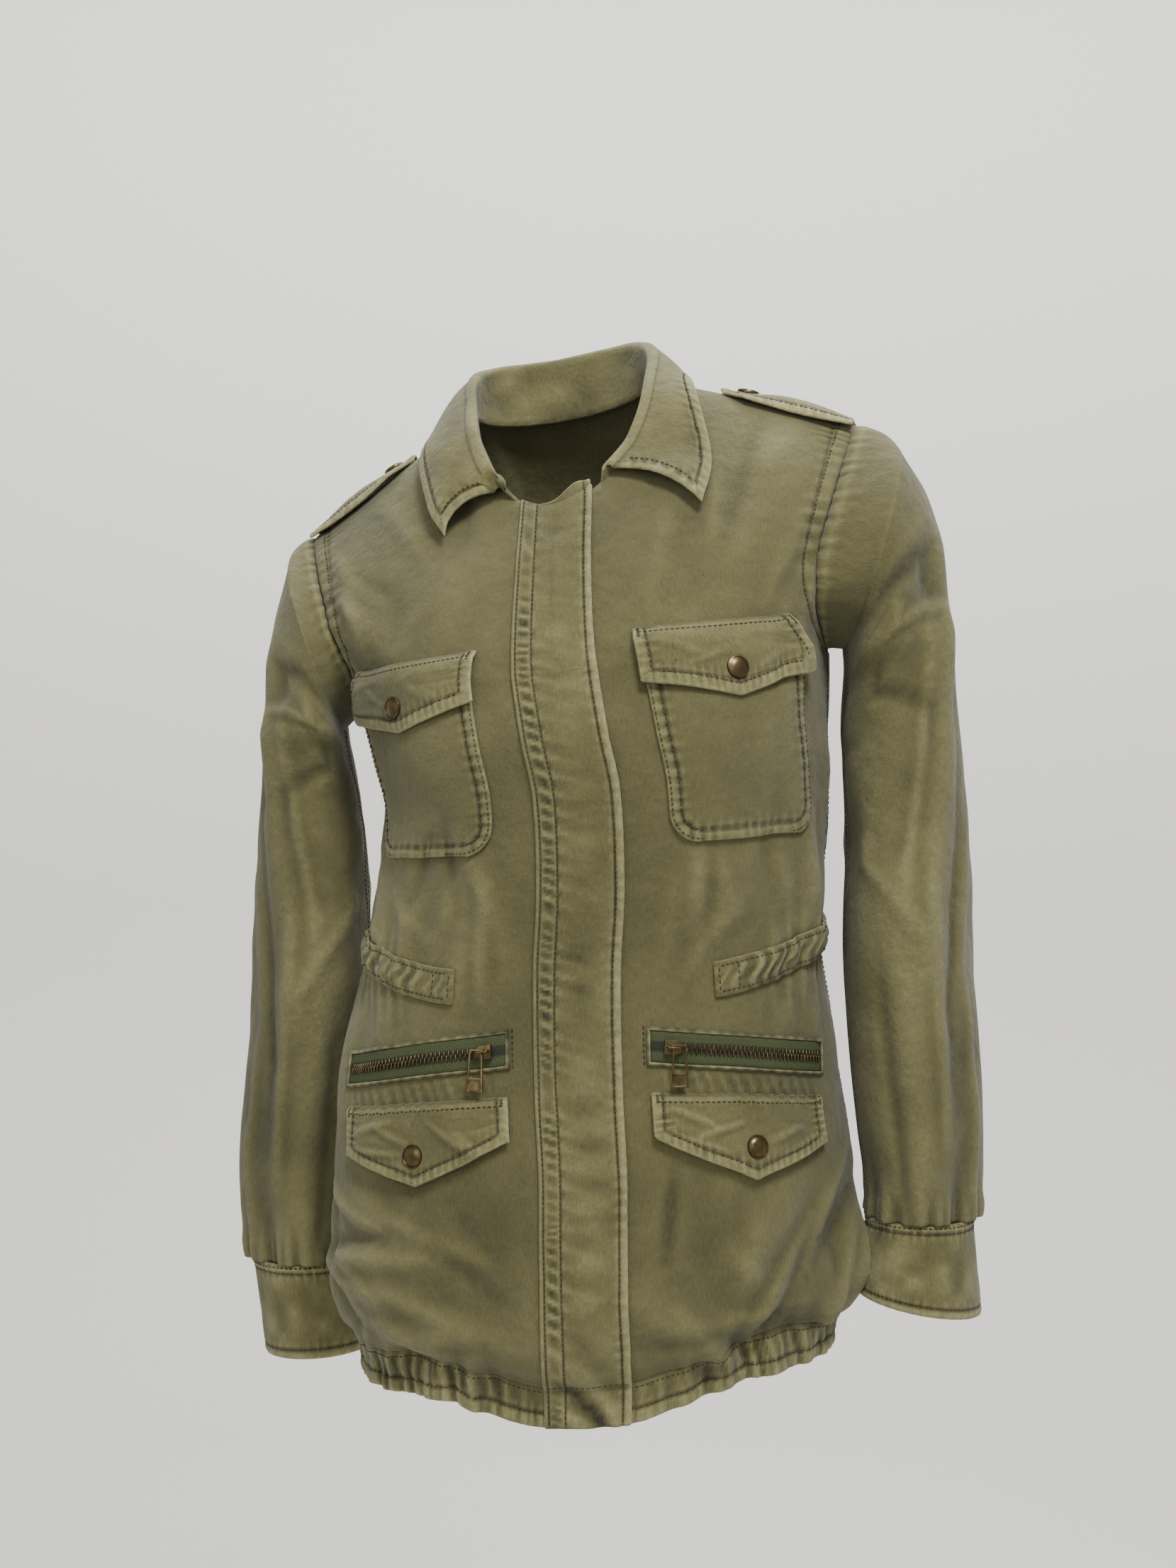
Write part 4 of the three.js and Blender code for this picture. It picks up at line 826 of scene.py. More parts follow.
def cotton_twill(name, deep_and_shaded, body, rubbed_and_painted_light):
    material, shader = new_material(name, body, 0.88)
    on_object, in_cloth = placed(material, "Object"), placed(material, "UV")
    fade = blotches(material, on_object, 9.0, 4.0, 0.6)
    yarns = node(material, "Mapping", {"Vector": in_cloth, "Scale": (900.0, 160.0, 1.0)})
    slub = blotches(material, yarns, 1.0, 3.0, 0.7)
    unevenness = blotches(material, on_object, 240.0, 3.0, 0.65)
    # The wear_and_shade attribute: rubbed edges and ridges, and painted light and shade of the folds and
    # seams.
    wear_and_shade = node(material, "Attribute", {}, "Fac", attribute_name="wear_and_shade")
    strong = result(material, "MULTIPLY", result(material, "MULTIPLY", wear_and_shade, unevenness), 0.62)
    faded = result(material, "MULTIPLY_ADD", fade, 0.42, strong)
    grained = result(material, "MULTIPLY_ADD", slub, 0.3, faded)
    colors = ramp(material, grained, [(0.12, deep_and_shaded), (0.38, body), (0.85, rubbed_and_painted_light)])
    ribs = node(material, "Mapping", {"Vector": in_cloth, "Rotation": (0, 0, math.radians(63))})
    waves = {"Scale": WAVE_PERIOD / TWILL_PITCH, "Distortion": 0.7, "Detail": 1.0, "Detail Scale": 2.0}
    wale = node(material, "TexWave", {"Vector": ribs, **waves}, "Fac")
    height = result(material, "ADD", wale, slub)
    weave = node(material, "Bump", {"Height": height, "Strength": 0.75, "Distance": TWILL_DEPTH})
    crumple = blotches(material, on_object, 70.0, 5.0, 0.62)
    soft = {"Height": crumple, "Normal": weave, "Strength": 0.8, "Distance": 3.2 * MM}
    feed(material, shader, {
        "Base Color": colors, "Normal": node(material, "Bump", soft), "Sheen Weight": 0.12,
        "Sheen Roughness": 0.6, "Specular IOR Level": 0.25,
    })
    return material


TAPE_MIDDLE = 9.7 * MM  # up the tape from its lower edge, where the teeth run
TAPE_STRIPE = 4 * MM
TAPE_RIB = 1.9 * MM


def woven_tape():
    """Cotton herringbone tape, piece-dyed green: its ribs turn back in stripes 4 mm wide, and its middle,
    where the teeth run, is darkened as painted shade round the teeth."""
    material, shader = new_material("herringbone cotton tape", "#364027", 0.85)
    x = node(material, "SeparateXYZ", {"Vector": placed(material, "UV")}, "X")
    y = node(material, "SeparateXYZ", {"Vector": placed(material, "UV")}, "Y")
    slanted = result(material, "ADD", result(material, "PINGPONG", y, TAPE_STRIPE), x)
    rib = result(material, "SINE", result(material, "MULTIPLY", slanted, 2 * math.pi / TAPE_RIB))
    level = result(material, "MULTIPLY_ADD", rib, 0.5, 0.5)
    colors = ramp(material, level, [(0.2, "#252c16"), (0.8, "#474f2b")])
    # Painted shade along the middle of the tape, round the teeth.
    far = result(material, "ABSOLUTE", result(material, "SUBTRACT", y, TAPE_MIDDLE))
    teeth_shade_band = {"From Min": 2.6 * MM, "From Max": 4.2 * MM, "To Min": 0.3, "To Max": 1.0}
    teeth_shade = node(material, "MapRange", {"Value": far, **teeth_shade_band}, "Result")
    teeth_shaded_colors = node(material, "VectorMath", {0: colors, "Scale": teeth_shade}, operation="SCALE")
    bump = node(material, "Bump", {"Height": level, "Strength": 0.8, "Distance": 0.2 * MM})
    feed(material, shader, {"Base Color": teeth_shaded_colors, "Normal": bump})
    return material


def antique_brass():
    """Plated zinc with a brown antique finish, rubbed bright in places by handling."""
    material, shader = new_material("antique brass", "#6d5f43", 0.36, 1.0)
    patina = blotches(material, placed(material, "Object"), 200.0, 1.0, 0.5)
    colors = ramp(material, patina, [(0.3, "#4c422c"), (0.5, "#5a4f37"), (0.75, "#6c6145")])
    rubbing = {"From Min": 0.3, "From Max": 0.7, "To Min": 0.42, "To Max": 0.3}
    rough = node(material, "MapRange", {"Value": patina, **rubbing}, "Result")
    feed(material, shader, {"Base Color": colors, "Roughness": rough})
    return material


def sewing_thread():
    """Spun polyester thread, dyed with the cloth and a little duller."""
    material, shader = new_material("sewing thread", "#332e1d", 0.85)
    shade = blotches(material, placed(material, "Object"), 60.0)
    feed(material, shader, {"Base Color": ramp(material, shade, [(0.3, "#29251a"), (0.7, "#453f28")])})
    return material


TWILL = cotton_twill("cotton twill", "#2b2917", "#575434", "#8a865d")
TRIM = cotton_twill("cotton twill, doubled", "#2b2917", "#5c5937", "#9b966b")
TAPE_CLOTH = woven_tape()
BRASS = antique_brass()
THREAD = sewing_thread()
JACKET = "jacket"
# Thickness, material and slot of single and doubled cloth
SINGLE = (CLOTH, TWILL, "olive_cotton")
DOUBLED = (DOUBLE, TRIM, "olive_trim")


def dressed(piece, name, body=JACKET):
    """Puts a piece on its body in place of its CAD solid."""
    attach(piece, body)
    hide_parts(name)


def finish(cloth, name, kind, rubbed_and_painted_light=1.0):
    thickness, material, slot = kind
    dressed(cloth.wall(f"{name}_cloth", thickness, material, rubbed_and_painted_light), name)


def sewn(thread, name):
    piece = thread.piece(name, THREAD)
    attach(piece, JACKET)


def beside_stitches(distance, along, row, pucker=0.3, pitch=9.0, seed=0):
    """Relief by distance from an edge that is stitched at a row: a puffed rim, a trough and puckers."""
    puff = 0.5 * hump(distance / row)
    trough = -0.6 * bell((distance - row) / 1.2)
    uneven = 1 + 0.8 * noise(along / (3 * pitch), 0.5, seed + 7)
    waves = uneven * sharp_ripple(along, 0.8 * pitch, seed)
    return puff + trough + 1.15 * pucker * waves * bell((distance - 0.8 * row) / (0.8 * row))


def edge_wear(distance, reach=1.6, strength=0.75):
    return strength * np.exp(-np.maximum(distance, 0) / reach)


# Body panels

ARMPIT_ROW = 190
UP_LENGTH = 190  # mm from the armpit to the neck, about
BACK_HALF = 190  # mm from the middle of the yoke's seam to its ends, about
YOKE = 118  # how far below the collar the yoke's seam runs
BODY_UPS = np.concatenate([np.linspace(-453, -1, ARMPIT_ROW), np.linspace(0.012, 0.994, 66)])
SIDE_TRIM = 0.0012
FRONT_EDGE = 0.004
ARMHOLE_ROW = 10


def from_side(side, around, up):
    """Distance in mm from the side seam and the armhole."""
    edge = girth_of(side, np.full_like(around, 1.0), up)
    return np.abs(girth_of(side, around, up) - edge)


def round_body(x):
    """Side and around of x, which runs from 0 at the centre front over the wearer's left to 4."""
    return np.where(x < 2, 1.0, -1.0), np.where(x < 2, x, 4 - x)


def eased_neck(grid, around, up):
    """Smooths the bend in the cloth below the place where the neckline meets the shoulder seam."""
    share = np.where(around > 1, 2 - around, around)
    weight = (bell((share - NECK_SHARE) / 0.09) * ease(up / 0.3))[:, 1:-1, None]
    for _ in range(14):
        middle = (grid[:, :-2] + grid[:, 2:]) / 2
        grid[:, 1:-1] += 0.5 * weight * (middle - grid[:, 1:-1])
    return grid


def front_panel(side):
    name = SIDE_NAMES[side]
    rounds = np.linspace(FRONT_EDGE, 1 - SIDE_TRIM, 104)
    around, up = np.meshgrid(rounds if side > 0 else rounds[::-1], BODY_UPS)
    cloth = Cloth(eased_neck(body_cloth(side, around, up), around, up))
    distance = from_side(side, around, up)
    seam = beside_stitches(distance, np.where(up > 0, up * UP_LENGTH, up), ARMHOLE_ROW, 0.35, 12, 1)
    relief = seam * np.where(up > -2, 1, 0.6) - 0.3 * bell(distance / 1.6)
    # The relief also tints the cloth: seam puffs and fold crests lighter, troughs darker as painted shade.
    cloth.emboss(relief, 0.5 * relief + 0.25 * fold_wear_and_shade(side, around, up))
    finish(cloth, f"front_{name}", SINGLE, rubbed_and_painted_light=0.6)
    thread = Thread()
    rows = np.arange(4, len(BODY_UPS) - 3, 2.0)
    for inset in (ARMHOLE_ROW, 3.0):
        columns = cloth.near(1, inset, side > 0, rows)
        above = rows > ARMPIT_ROW if inset == ARMHOLE_ROW else rows < ARMPIT_ROW - 2
        thread.on(cloth, rows[above], columns[above])
    sewn(thread, f"front_{name}_thread")


def fold_wear_and_shade(side, around, up):
    # Fold crests lighter and hollows darker: painted light and shade of the folds, with some worn dye on the
    # crests.
    height = fold_height(girth_of(side, around, up), upright(side, around, up)[..., 2])
    return np.clip(height / 7, -0.8, 1.0)


def back_panel():
    x = np.linspace(-1 + SIDE_TRIM, 1 - SIDE_TRIM, 144)
    side = np.where(x < 0, 1.0, -1.0)
    across, up = np.meshgrid(x, BODY_UPS)
    side, around = np.broadcast_to(side, across.shape), 2 - np.abs(across)
    cloth = Cloth(eased_neck(body_cloth(side, around, up), around, up))
    level = upright(side, around, up)[..., 2]
    seam = beside_stitches(np.abs(level + YOKE), across * BACK_HALF, 6, 0.3, 11, 9) * (level < -YOKE)
    seam -= 0.9 * bell((level + YOKE) / 1.8)
    relief = beside_stitches(from_side(side, around, up), up, ARMHOLE_ROW, 0.3, 12, 4) + seam
    # The relief also tints the cloth: seam puffs and fold crests lighter, the yoke seam's groove and other
    # troughs darker as painted shade.
    cloth.emboss(relief, 0.5 * relief + 0.25 * fold_wear_and_shade(side, around, up))
    finish(cloth, "back", SINGLE, rubbed_and_painted_light=0.6)
    thread = Thread()
    rows = np.arange(4, len(BODY_UPS) - 3, 2.0)
    for last in (False, True):
        columns = cloth.near(1, ARMHOLE_ROW, last, rows)
        thread.on(cloth, rows[rows > ARMPIT_ROW], columns[rows > ARMPIT_ROW])
    columns = np.arange(3, len(x) - 3, 1.0)
    for drop in (YOKE + 2.5, YOKE + 8):
        seam_rows = [np.interp(-drop, level[:, int(c)], np.arange(len(BODY_UPS))) for c in columns]
        thread.on(cloth, np.array(seam_rows), columns)
    sewn(thread, "back_thread")


# Bands

HEM_COLUMNS = 420
HEM_ROW = 9
CASING_COLUMNS = 400


def hem_band():
    x = np.linspace(0.012, 3.988, HEM_COLUMNS)
    t = np.array([0, 0.06, 0.14, 0.24, 0.34, 0.45, 0.56, 0.67, 0.78, 0.88, 0.95, 1])
    x, t = np.meshgrid(x, t)
    side, around = round_body(x)
    up = mix(HEM_EDGE, HEM_SEAM - 0.3, t) - ARMPIT
    girth = girth_of(side, around, up)
    clear = clear_of_front(girth, HEM_GATHER)
    gather = clear * (1.3 + 1.2 * (1 - t)) * ripple(girth, 29) * ease((1 - t) / 0.3)
    fine = (0.25 + 0.75 * clear) * 0.65 * sharp_ripple(girth + 3 * t, 11, 11) * ease((1 - t) / 0.2)
    lift = outward(posed, side, around, up) * (gather + fine)[..., None]
    cloth = Cloth(body_cloth(side, around, up) + lift)
    drop = (1 - t) * (HEM_SEAM - HEM_EDGE)
    to_edge = (HEM_SEAM - HEM_EDGE) - drop
    seams = beside_stitches(to_edge, girth, HEM_ROW, 0.3, 8, 21) - 0.5 * bell(drop / 1.5)
    # Gathers and seams tint the band: crests lighter, troughs darker as painted shade; the lower edge is
    # lighter from wear.
    cloth.emboss(seams, 0.5 * fine + 0.35 * seams + edge_wear(to_edge))
    finish(cloth, "hem_band", DOUBLED)
    thread = Thread()
    columns = np.arange(3, HEM_COLUMNS - 3, 1.0)
    for distance, last in ((HEM_ROW, False), (4, True)):
        thread.by_end(cloth, distance, last, columns)
    sewn(thread, "hem_band_thread")


def waist_casing():
    x = np.linspace(CASING["left_end"], 4 - CASING["right_end"], CASING_COLUMNS)
    x, t = np.meshgrid(x, np.linspace(0, 1, 12))
    side, around = round_body(x)
    up = casing_level(around) + CASING["half"] * (2 * t - 1) - ARMPIT
    girth = girth_of(side, around, up)
    free = ease((around - CASING["left_end"] - 0.05) / 0.08)
    swell = np.sin(math.pi * t)
    coarse = free * swell * (1.6 + 1.2 * ripple(girth, 22))
    fine = (0.2 + 0.8 * free) * (0.35 + 0.65 * swell) * sharp_ripple(girth + 3 * np.sin(6 * t), 8.5, 17)
    lift = CASING["lift"] + CLOTH + coarse + fine
    cloth = Cloth(lifted(side, around, up, lift))
    # The gathers tint the casing: crests lighter, troughs darker as painted shade.
    cloth.emboss(-0.4 * bell((t - 0.12) / 0.06) - 0.4 * bell((t - 0.88) / 0.06), 0.55 * fine + 0.15)
    finish(cloth, "waist_casing", SINGLE, rubbed_and_painted_light=0.7)
    thread = Thread()
    columns = np.arange(2, CASING_COLUMNS - 3, 1.0)
    for row in (1.4, 9.6):
        thread.on(cloth, np.full(columns.shape, row), columns)
    # A stitched box closes each end
    for start, end in ((1.5, 9.0), (390.0, 397.5)):
        for column in (start, end):
            thread.on(cloth, np.linspace(1.5, 9.5, 12), np.full(12, column))
    sewn(thread, "waist_casing_thread")


FLY_TOP = 0.99
FLY_PEAK = dict(girth=14, height=7)
FLY_ROWS = (2.0, 13.0)  # of the sewn edge, from it
FLY_FREE_ROW = 5.0


def fly_flap():
    ups = np.concatenate([np.linspace(HEM_EDGE - ARMPIT + 0.5, -1, 240), np.linspace(0.008, FLY_TOP, 58)])
    across = np.concatenate([
        [0, 0.8, 2, 3.2], np.linspace(4.6, 10.6, 5), [11.8, 13, 14.2], np.linspace(17, 45, 10),
        [47.4, 48.9, 50.4, 52, 53.3, 54],
    ])
    girth, up = np.meshgrid(across - FLAP_HALF, ups)
    side = np.where(girth < 0, -1.0, 1.0)
    around = np.abs(girth) / fly_scale(up)
    wave = 0.5 * np.sin(up / 11) + 0.4 * np.sin(up / 17 + 1)
    edge = ease((girth + FLAP_HALF) / (2 * FLAP_HALF))
    lift = SEAM_GAP + DOUBLE + 0.6 + edge * wave * ease(-up / 30) + 1.2 * edge
    surface = lifted(side, around, up, lift)
    surface[-1, :, 2] += FLY_PEAK["height"] * bell((girth[-1] - FLY_PEAK["girth"]) / 12)
    cloth = Cloth(surface)
    level = upright(side, around, up)[..., 2]
    d = girth + FLAP_HALF
    between = np.clip((d - FLY_ROWS[0]) / (FLY_ROWS[1] - FLY_ROWS[0]), 0, 1)
    slanted = level + 0.35 * d
    gathered = sharp_ripple(slanted + 9 * noise(level / 40, 0, 33), 8, 31)
    puckers = 0.42 * np.sin(math.pi * between) * gathered * (1 + 0.9 * noise(level / 27, 0, 34))
    past_row = d - FLY_ROWS[1]
    beyond = np.exp(-np.maximum(past_row, 0) / 9) * (past_row > 0) * 0.35 * sharp_ripple(slanted, 12, 35)
    troughs = -0.4 * (bell(d - FLY_ROWS[0]) + bell(d - FLY_ROWS[1]))
    free_d = 2 * FLAP_HALF - d
    free_edge = beside_stitches(free_d, level, FLY_FREE_ROW, 0.3, 11, 37)
    crumple = noise(girth / 27, level / 12, 41) + 1.2 * noise(girth / 24, level / 34, 42)
    crumple = crumple * hump((d - 13) / 36)
    low = np.exp(-np.maximum(level - HEM_EDGE - 4, 0) / 34)
    slants = (level * 0.8 + girth * 0.9) / 5.2 + 2 * noise(girth / 20, level / 25, 43)
    drag = 1.6 * low * np.sin(slants) * hump(d / (2 * FLAP_HALF))
    relief = puckers + beyond + troughs + free_edge + crumple + drag
    # Puckers, stitch troughs and drags tint the flap: crests lighter, troughs darker as painted shade; both
    # edges are lighter from wear.
    wear_and_shade = 0.7 * puckers + 0.5 * (troughs + free_edge) + 0.4 * drag
    cloth.emboss(relief, wear_and_shade + edge_wear(free_d, 1.0, 0.9) + edge_wear(d, 0.8, 0.4))
    finish(cloth, "fly_flap", DOUBLED)
    thread = Thread()
    rows = np.arange(1.0, len(ups) - 1, 1.0)
    for distance, last in ((FLY_ROWS[0], False), (FLY_ROWS[1], False), (FLY_FREE_ROW, True)):
        thread.by_side(cloth, distance, last, rows)
    columns = np.linspace(1, len(across) - 2, 30)
    thread.by_end(cloth, 28, False, columns)
    sewn(thread, "fly_flap_thread")


# Collar: turn is -1 at the wearer's right end, 0 behind and 1 at the left end.
COLLAR = table("turn crown_x crown_y crown_z edge_x edge_y edge_z belly", [
    [-1, -38, -72, -58, -77, -82, -84, 16],
    [-0.9, -46, -72, -42, -88, -72, -66, 11],
    [-0.78, -53, -54, -18, -97, -46, -37, 9],
    [-0.64, -57, -22, 8, -99, -16, -17, 8],
    [-0.5, -62, 10, 30, -92, 14, -8, 9],
    [-0.34, -56, 40, 38, -78, 48, -10, 6],
    [-0.17, -32, 58, 40, -44, 74, -10, 4],
    [0, 0, 64, 40, 0, 81, -9, 4],
    [0.17, 32, 58, 39, 44, 74, -10, 4],
    [0.34, 55, 38, 34, 76, 50, -10, 4],
    [0.5, 66, 8, 20, 89, 12, -6, 5],
    [0.64, 66, -20, 0, 95, -20, -14, 5],
    [0.78, 61, -44, -22, 99, -44, -40, 6],
    [0.9, 49, -60, -44, 102, -64, -70, 8],
    [1, 35, -70, -58, 97, -84, -94, 12],
])
COLLAR_END = 0.3
COLLAR_BACK = 0.42
COLLAR_LIFT = 3
ROLL = 4.5
COLLAR_ROW = 8.0


def neckline_at(turn):
    reach = np.abs(turn)
    ahead = (reach - COLLAR_BACK) / (1 - COLLAR_BACK)
    behind = reach < COLLAR_BACK
    share = NECK_SHARE * np.where(behind, reach / COLLAR_BACK, 1 - ahead * (1 - COLLAR_END))
    x, y, z = top_edge(share, behind)
    return np.stack([np.sign(turn) * x, y, z + COLLAR_LIFT], -1)


def collar():
    turn = np.linspace(-1, 1, 210)
    row = section_at(COLLAR, turn)
    seam = neckline_at(turn)
    crown = np.stack([row["crown_x"], row["crown_y"], row["crown_z"]], -1)
    edge = np.stack([row["edge_x"], row["edge_y"], row["edge_z"]], -1)
    out = unit((edge - crown) * [1, 1, 0])
    roll = np.minimum(ROLL, 0.45 * np.linalg.norm(crown - seam, axis=1))[:, None]
    within = unit((np.array([0, NECK["ridge_y"], 0]) - seam) * [1, 1, 0])
    seam = seam + within * 1.6 - [0, 0, COLLAR_LIFT + 1.5]
    angles = np.radians(np.linspace(160, 20, 9))
    rolled = [crown + out * roll * math.cos(a) + [0, 0, 1] * roll * (math.sin(a) - 1) for a in angles]
    lines = [mix(seam, rolled[0], t) for t in np.linspace(0, 1, 12)[:-1]] + rolled
    middle = mix(rolled[-1], edge, 0.4) + (out + [0, 0, 0.7]) * row["belly"][:, None]
    for t in np.concatenate([np.linspace(0.04, 0.84, 21), [0.87, 0.9, 0.92, 0.94, 0.96, 0.98, 0.99, 1]]):
        lines.append(rolled[-1] * (1 - t) ** 2 + middle * 2 * t * (1 - t) + edge * t * t)
    grid = pose(np.array(lines))
    cloth = Cloth(grid)
    _, height = cloth.spans()
    from_edge = height[-1] - height
    length = np.cumsum(np.linalg.norm(np.diff(grid[-1], axis=0, prepend=grid[-1][:1]), axis=1))
    from_ends = np.minimum(length, length[-1] - length)[None, :] + 0 * from_edge
    fall = from_edge < height[-1] - height[20]
    distance = np.minimum(from_edge, from_ends)
    along = np.where(from_edge < from_ends, length[None, :], from_edge)
    relief = beside_stitches(distance, along, COLLAR_ROW, 0.25, 10, 51) * fall
    crumple = 0.8 * noise(length[None, :] / 26, height / 17, 53) * np.clip(from_edge / 12, 0, 1)
    # The relief tints the collar: crests lighter, troughs darker as painted shade; its edges are lighter from
    # wear.
    cloth.emboss(relief + crumple, 0.5 * relief + 0.25 * crumple + edge_wear(distance, 1.5, 0.9) * fall)
    finish(cloth, "collar", DOUBLED)
    thread = Thread()
    columns = np.arange(8.0, 202.0)
    thread.by_end(cloth, COLLAR_ROW, True, columns)
    for last in (False, True):
        thread.by_side(cloth, COLLAR_ROW, last, np.linspace(21, len(lines) - 9.5, 24))
    sewn(thread, "collar_thread")


# Sleeves and cuffs: seen from the front, the sections' outer and inner points and their depth.
LEFT_SLEEVE = table("along outer_x outer_z inner_x inner_z centre_y half_depth", [
    [1 / 12, 207, -40, 172, -173, -38, 67],
    [2 / 12, 227, -74, 173, -197, -35, 64],
    [3 / 12, 239, -118, 171, -224, -32, 58],
    [4 / 12, 246, -170, 172, -254, -30, 56],
    [5 / 12, 251, -226, 174, -288, -28, 54],
    [6 / 12, 255, -282, 174, -320, -27, 53],
    [7 / 12, 258, -337, 173, -352, -27, 52],
    [8 / 12, 260, -390, 173, -394, -28, 50],
    [9 / 12, 262, -442, 176, -442, -30, 48],
    [10 / 12, 261, -490, 181, -490, -32, 46],
    [11 / 12, 259, -530, 186, -530, -35, 42],
    [1, 258, -551, 187, -551, -36, 38],
])
RIGHT_SLEEVE = table("along outer_x outer_z inner_x inner_z centre_y half_depth", [
    [1 / 12, -210, -111, -171, -224, 36, 67],
    [2 / 12, -220, -150, -168, -246, 40, 64],
    [3 / 12, -227, -190, -164, -266, 45, 60],
    [4 / 12, -232, -236, -160, -294, 52, 56],
    [5 / 12, -236, -286, -158, -324, 58, 54],
    [6 / 12, -238, -334, -157, -354, 64, 53],
    [7 / 12, -241, -386, -158, -394, 70, 52],
    [8 / 12, -245, -440, -160, -442, 76, 50],
    [9 / 12, -249, -491, -162, -491, 81, 47],
    [10 / 12, -250, -537, -164, -537, 84, 44],
    [11 / 12, -247, -580, -168, -580, 86, 41],
    [1, -244, -606, -168, -606, 86, 38],
])
# Side, sections and the end of the cuff
SLEEVES = {
    "left": (1, LEFT_SLEEVE, dict(outer_x=262, outer_z=-615, inner_x=181, inner_z=-603, centre_y=-40)),
    "right": (-1, RIGHT_SLEEVE, dict(outer_x=-234, outer_z=-674, inner_x=-154, inner_z=-668, centre_y=84)),
}
# Folds of a sleeve: turn is 0 at the inner side, 0.25 at the front, 0.5 outside and 0.75 behind.
SLEEVE_FOLDS = table("along1 turn1 along2 turn2 width height", [
    [0.12, 0.2, 0.2, 0.34, 0.04, -4],
    [0.16, 0.14, 0.3, 0.34, 0.05, 4],
    [0.22, 0.4, 0.6, 0.27, 0.045, 3.2],
    [0.3, 0.5, 0.75, 0.42, 0.05, -2.6],
    [0.35, 0.12, 0.6, 0.14, 0.06, 2.6],
    [0.55, 0.2, 0.97, 0.24, 0.045, 3],
    [0.6, 0.34, 0.98, 0.36, 0.04, -2.8],
    [0.7, 0.45, 0.98, 0.48, 0.045, 2.6],
    [0.5, 0.58, 0.9, 0.62, 0.05, 3],
    [0.3, 0.7, 0.7, 0.78, 0.05, -3],
    [0.6, 0.84, 0.97, 0.82, 0.05, 2.8],
    [0.15, 0.6, 0.4, 0.66, 0.05, 3],
    # Sharper creases, which the solids leave out
    [0.2, 0.22, 0.27, 0.36, 0.02, 2.4],
    [0.26, 0.16, 0.36, 0.3, 0.022, -2.2],
    [0.3, 0.3, 0.52, 0.22, 0.02, 2.2],
    [0.4, 0.4, 0.7, 0.33, 0.02, -1.8],
    [0.5, 0.12, 0.62, 0.26, 0.022, 2],
    [0.58, 0.28, 0.8, 0.3, 0.018, 2.2],
    [0.72, 0.16, 0.95, 0.19, 0.02, -1.8],
    [0.74, 0.4, 0.97, 0.41, 0.018, 2.2],
    [0.46, 0.46, 0.6, 0.38, 0.02, 1.8],
    [0.36, 0.56, 0.62, 0.52, 0.022, 2],
    [0.4, 0.86, 0.56, 0.72, 0.022, 2.2],
    [0.5, 0.9, 0.6, 0.78, 0.02, -2],
    [0.62, 0.66, 0.9, 0.7, 0.02, 2],
    [0.2, 0.78, 0.34, 0.7, 0.025, 2.2],
])
CAP_PUFF = 9
CUFF_GATHERS = 11
SLEEVE_COLUMNS = 96
SLEEVE_LENGTH = 560
SLEEVE_GIRTH = 270
CUFF_COLUMNS = 110
CUFF_GIRTH = 250
CUFF_LENGTH = 62
CUFF_ROW = 6.0


def armhole(side, turn):
    """The posed armhole edge: turn 0 is the armpit, 0.25 the front, 0.5 the shoulder, 0.75 behind."""
    ups = np.linspace(1e-4, 0.994, 120)
    index = np.arange(len(ups))
    points = np.empty(turn.shape + (3,))
    for around, chosen in ((1.0, turn <= 0.5), (1.00001, turn > 0.5)):
        edge = body_cloth(side, around, ups)
        lengths = np.concatenate([[0], np.cumsum(np.linalg.norm(np.diff(edge, axis=0), axis=1))])
        share = np.where(turn <= 0.5, turn, 1 - turn)[chosen] * 2
        at = np.interp(share * lengths[-1], lengths, index)
        points[chosen] = np.stack([np.interp(at, index, edge[:, k]) for k in range(3)], -1)
    return points


def sleeve_fold(along, turn):
    height = np.zeros(along.shape)
    for along1, turn1, along2, turn2, width, fold in zip(*SLEEVE_FOLDS.values()):
        t = np.clip((along - along1) / (along2 - along1), 0, 1)
        beyond = np.maximum(0, np.maximum(along1 - along, along - along2)) / 0.05
        off = (turn - mix(turn1, turn2, t)) / width
        height += fold * np.exp(-off * off - beyond * beyond)
    gather = ease((along - 0.86) / 0.14)
    height += gather * 1.6 * np.sin(2 * math.pi * turn * CUFF_GATHERS)
    uneven = np.sin(2 * math.pi * turn * 24 + 2 * np.sin(2 * math.pi * turn * 3))
    height += 0.9 * ease((along - 0.9) / 0.1) * uneven
    # A sleeve this narrow slips into small folds across it, all the way down
    slip = noise(turn * 7 + along * 3, along * 11, 61) * 1.6 + noise(turn * 15, along * 26, 62) * 0.6
    seamless = np.clip(np.minimum(turn, 1 - turn) / 0.06, 0, 1)
    return 1.25 * height + 1.2 * slip * seamless


def sleeve_section(row, turn):
    angle = 2 * math.pi * turn
    inward = (1 + np.cos(angle)) / 2
    x = mix(row["outer_x"], row["inner_x"], inward)
    z = mix(row["outer_z"], row["inner_z"], inward)
    return np.stack([x, row["centre_y"] - row["half_depth"] * np.sin(angle), z], -1)


def oriented(field, side):
    """Rows of a sleeve go down and, on the right one, columns go leftwards: both are turned round."""
    return field[::-1] if side > 0 else field[::-1, ::-1]


